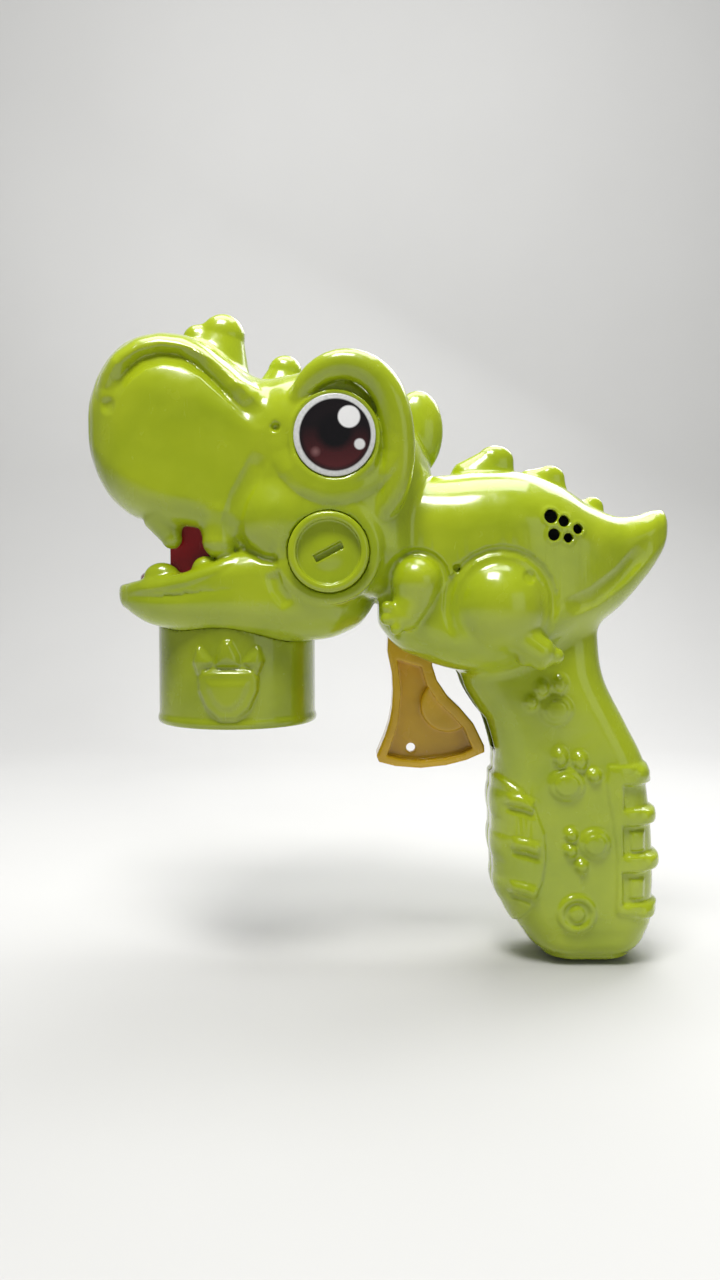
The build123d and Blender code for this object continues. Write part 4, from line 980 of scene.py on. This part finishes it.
def eye_material():
    """A white eye with a dark iris, brown at its lower edge, and two white lights."""
    paint = Paint("eye_print")
    split = paint.node("ShaderNodeSeparateXYZ")
    paint.join(paint.place, split.inputs["Vector"])

    def away(dx, dz, radius, soft=0.25):
        """1 inside a circle that lies dx, dz from the eye's middle, 0 outside."""
        u = paint.math("SUBTRACT", paint.math("MULTIPLY", split.outputs["X"], 1000.0), EYE_X + dx)
        w = paint.math("SUBTRACT", paint.math("MULTIPLY", split.outputs["Z"], 1000.0), EYE_Z - RIM + dz)
        square = paint.math("ADD", paint.math("MULTIPLY", u, u), paint.math("MULTIPLY", w, w))
        return paint.range(paint.math("SQRT", square), 1.0, 0.0, radius - soft, radius + soft)

    height = paint.math("SUBTRACT", paint.math("MULTIPLY", split.outputs["Z"], 1000.0), EYE_Z - RIM)
    grain = paint.noise(900, detail=3.0)
    white = paint.ramp(grain, [(0.3, (0.62, 0.63, 0.62)), (0.7, (0.78, 0.79, 0.78))])
    brown = paint.mix(paint.range(height, 1.0, 0.0, -9.5, 3.0), (0.006, 0.003, 0.004), (0.085, 0.012, 0.014))
    colour = paint.mix(away(0.2, 0.0, 11.4), white, (0.004, 0.002, 0.003))
    colour = paint.mix(away(0.3, -0.2, 10.4, soft=0.9), colour, brown)
    colour = paint.mix(away(0.2, 1.0, 5.6, soft=1.2), colour, (0.002, 0.001, 0.002))
    colour = paint.mix(away(4.6, 5.6, 3.5), colour, (0.9, 0.9, 0.9))
    colour = paint.mix(away(8.0, -3.0, 1.7), colour, (0.8, 0.8, 0.8))
    colour = paint.mix(away(-6.0, -5.4, 1.1, soft=0.8), colour, (0.22, 0.10, 0.10))
    paint.colour(colour)
    paint.roughness(paint.range(grain, 0.1, 0.2))
    paint.bump(paint.noise(1500), 0.05, 0.0002)
    paint.set(Coat_Weight=0.8, Coat_Roughness=0.04)
    return paint.material


def jacket_material():
    """Cell jackets: dark sleeve with a copper-coloured band at one end."""
    paint = Paint("cell_jacket")
    split = paint.node("ShaderNodeSeparateXYZ")
    paint.join(paint.place, split.inputs["Vector"])
    height = paint.math("MULTIPLY", split.outputs["Z"], 1000.0)
    band = paint.range(height, 0.0, 1.0, PACK_Z - RIM + 10, PACK_Z - RIM + 10.4)
    cloud = paint.noise(500, detail=3.0)
    dark = paint.ramp(cloud, [(0.3, (0.015, 0.015, 0.02)), (0.7, (0.03, 0.03, 0.04))])
    paint.colour(paint.mix(band, dark, (0.55, 0.26, 0.08)))
    paint.roughness(paint.range(cloud, 0.2, 0.34))
    return paint.material


def make_materials():
    lime, lime_deep = (0.395, 0.485, 0.010), (0.31, 0.40, 0.006)
    return {
        "green_plastic": moulded("green_plastic", lime, lime_deep),
        "cap_plastic": moulded("cap_plastic", (0.40, 0.49, 0.010), (0.32, 0.41, 0.006)),
        # Painted shade: the collar's colours are the casing's lime and deep lime darkened, for the shade
        # under the head.
        "collar_plastic": moulded("collar_plastic", (0.33, 0.405, 0.008), (0.24, 0.31, 0.005)),
        "trigger_plastic": moulded("trigger_plastic", (0.70, 0.43, 0.006), (0.55, 0.33, 0.004), coat=0.4),
        "red_plastic": moulded("red_plastic", (0.46, 0.008, 0.012), (0.32, 0.005, 0.008), coat=0.5),
        "eye_print": eye_material(),
        "white_plastic": satin("white_plastic", (0.74, 0.74, 0.70)),
        "gear_plastic": satin("gear_plastic", (0.80, 0.79, 0.72), rough=(0.3, 0.42)),
        "dark_plastic": satin("dark_plastic", (0.020, 0.020, 0.023)),
        "seal_rubber": satin("seal_rubber", (0.03, 0.03, 0.03), rough=(0.6, 0.8), strength=0.3),
        "clear_tube": tube_material(),
        "motor_steel": metal("motor_steel", (0.55, 0.55, 0.57)),
        "steel": metal("steel", (0.58, 0.58, 0.60)),
        "contact_metal": metal("contact_metal", (0.66, 0.65, 0.62), stretch=(1.0, 1.0, 0.05)),
        "cell_jacket": jacket_material(),
        "board": board_material(),
        "speaker_cone": satin("speaker_cone", (0.025, 0.025, 0.027), rough=(0.5, 0.75), grain=700,
                              strength=0.5),
        "lamp_plastic": lamp_material(),
    }


def dress_frame_nodes():
    """Every node of the frame that is still shown gets its slot's material."""
    slots = {part["node"]: part["material_slot"] for part in frame["record"]["subparts"]}
    for name, node in frame["nodes"].items():
        node.data.materials.clear()
        node.data.materials.append(MATERIALS[slots[name]])


# ---------------------------------------------------------------- stage
def build_stage():
    """A pale floor that curves up into a backdrop, behind the object as seen from the camera."""
    floor_z = CAD_BOX[0].z - 0.0006
    deep, bend, tall, wide = 0.42, 0.25, 1.6, 2.4
    profile = [(-1.6, 0.0), (deep, 0.0)]
    for k in range(1, 13):
        a = math.pi / 2 * k / 12
        profile.append((deep + bend * math.sin(a), bend * (1 - math.cos(a))))
    profile.append((deep + bend, tall))
    points = [(side * wide, y, floor_z + z) for y, z in profile for side in (-1, 1)]
    faces = [(2 * k, 2 * k + 1, 2 * k + 3, 2 * k + 2) for k in range(len(profile) - 1)]
    floor = link_mesh("backdrop", np.array(points), faces)
    floor.data.shade_smooth()
    paint = Paint("backdrop_paper")
    cloud = paint.noise(3.0, detail=4.0)
    paint.colour(paint.ramp(cloud, [(0.3, (0.52, 0.52, 0.515)), (0.7, (0.56, 0.56, 0.555))]))
    paint.roughness(paint.range(cloud, 0.75, 0.9))
    floor.data.materials.append(paint.material)


def add_light(name, place, target, size, power, colour=(1, 1, 1)):
    data = bpy.data.lights.new(name, "AREA")
    data.shape = "RECTANGLE"
    data.size, data.size_y = size
    data.energy, data.color = power, colour
    light = bpy.data.objects.new(name, data)
    light.location = place
    light.rotation_mode = "QUATERNION"
    light.rotation_quaternion = (Vector(target) - Vector(place)).to_track_quat("-Z", "Y")
    bpy.context.scene.collection.objects.link(light)


def build_lights():
    middle = (0.05, 0.0, 0.02)
    add_light("key", (-0.08, -0.42, 0.95), middle, (0.4, 0.3), 9.5, (1.0, 0.985, 0.96))
    add_light("fill", (0.8, -0.8, 0.2), middle, (0.6, 0.6), 0.8, (0.95, 0.98, 1.0))
    add_light("top", (0.05, 0.1, 0.9), middle, (0.8, 0.5), 7)
    add_light("back", (0.3, 0.35, 0.45), middle, (0.5, 0.3), 2.5)
    world = bpy.data.worlds.new("studio")
    world.use_nodes = True
    background = world.node_tree.nodes["Background"]
    background.inputs["Color"].default_value = (0.86, 0.88, 0.9, 1)
    background.inputs["Strength"].default_value = 0.17
    bpy.context.scene.world = world
    bpy.context.scene.view_settings.view_transform = "Standard"


def build_camera():
    """Looks along +Y and three degrees down, from 356 mm in front of the parting plane."""
    aim_x, aim_z, distance, dip = 43.6, 28.4, 356.0, 3.0
    data = bpy.data.cameras.new("camera")
    data.sensor_width = 36.0
    data.lens = 28.1
    data.clip_start, data.clip_end = 0.01, 20
    camera = bpy.data.objects.new("camera", data)
    rise = distance * math.sin(math.radians(dip))
    back = distance * math.cos(math.radians(dip))
    place = Vector(to_frame([(aim_x, -back, aim_z + rise)])[0])
    target = Vector(to_frame([(aim_x, 0, aim_z)])[0])
    camera.location = place
    camera.rotation_mode = "QUATERNION"
    camera.rotation_quaternion = (target - place).to_track_quat("-Z", "Y")
    bpy.context.scene.collection.objects.link(camera)
    bpy.context.scene.camera = camera


MATERIALS = make_materials()
dress_frame_nodes()
build_casing()
build_collar()
build_trigger()
build_cap(-1, "cheek_cap_left", "left_cheek_cap")
build_cap(1, "cheek_cap_right", "right_cheek_cap")
build_tongue()
build_eye(-1, "eye_left", "left_eye")
build_eye(1, "eye_right", "right_eye")
build_spring()
build_stage()
build_lights()
build_camera()
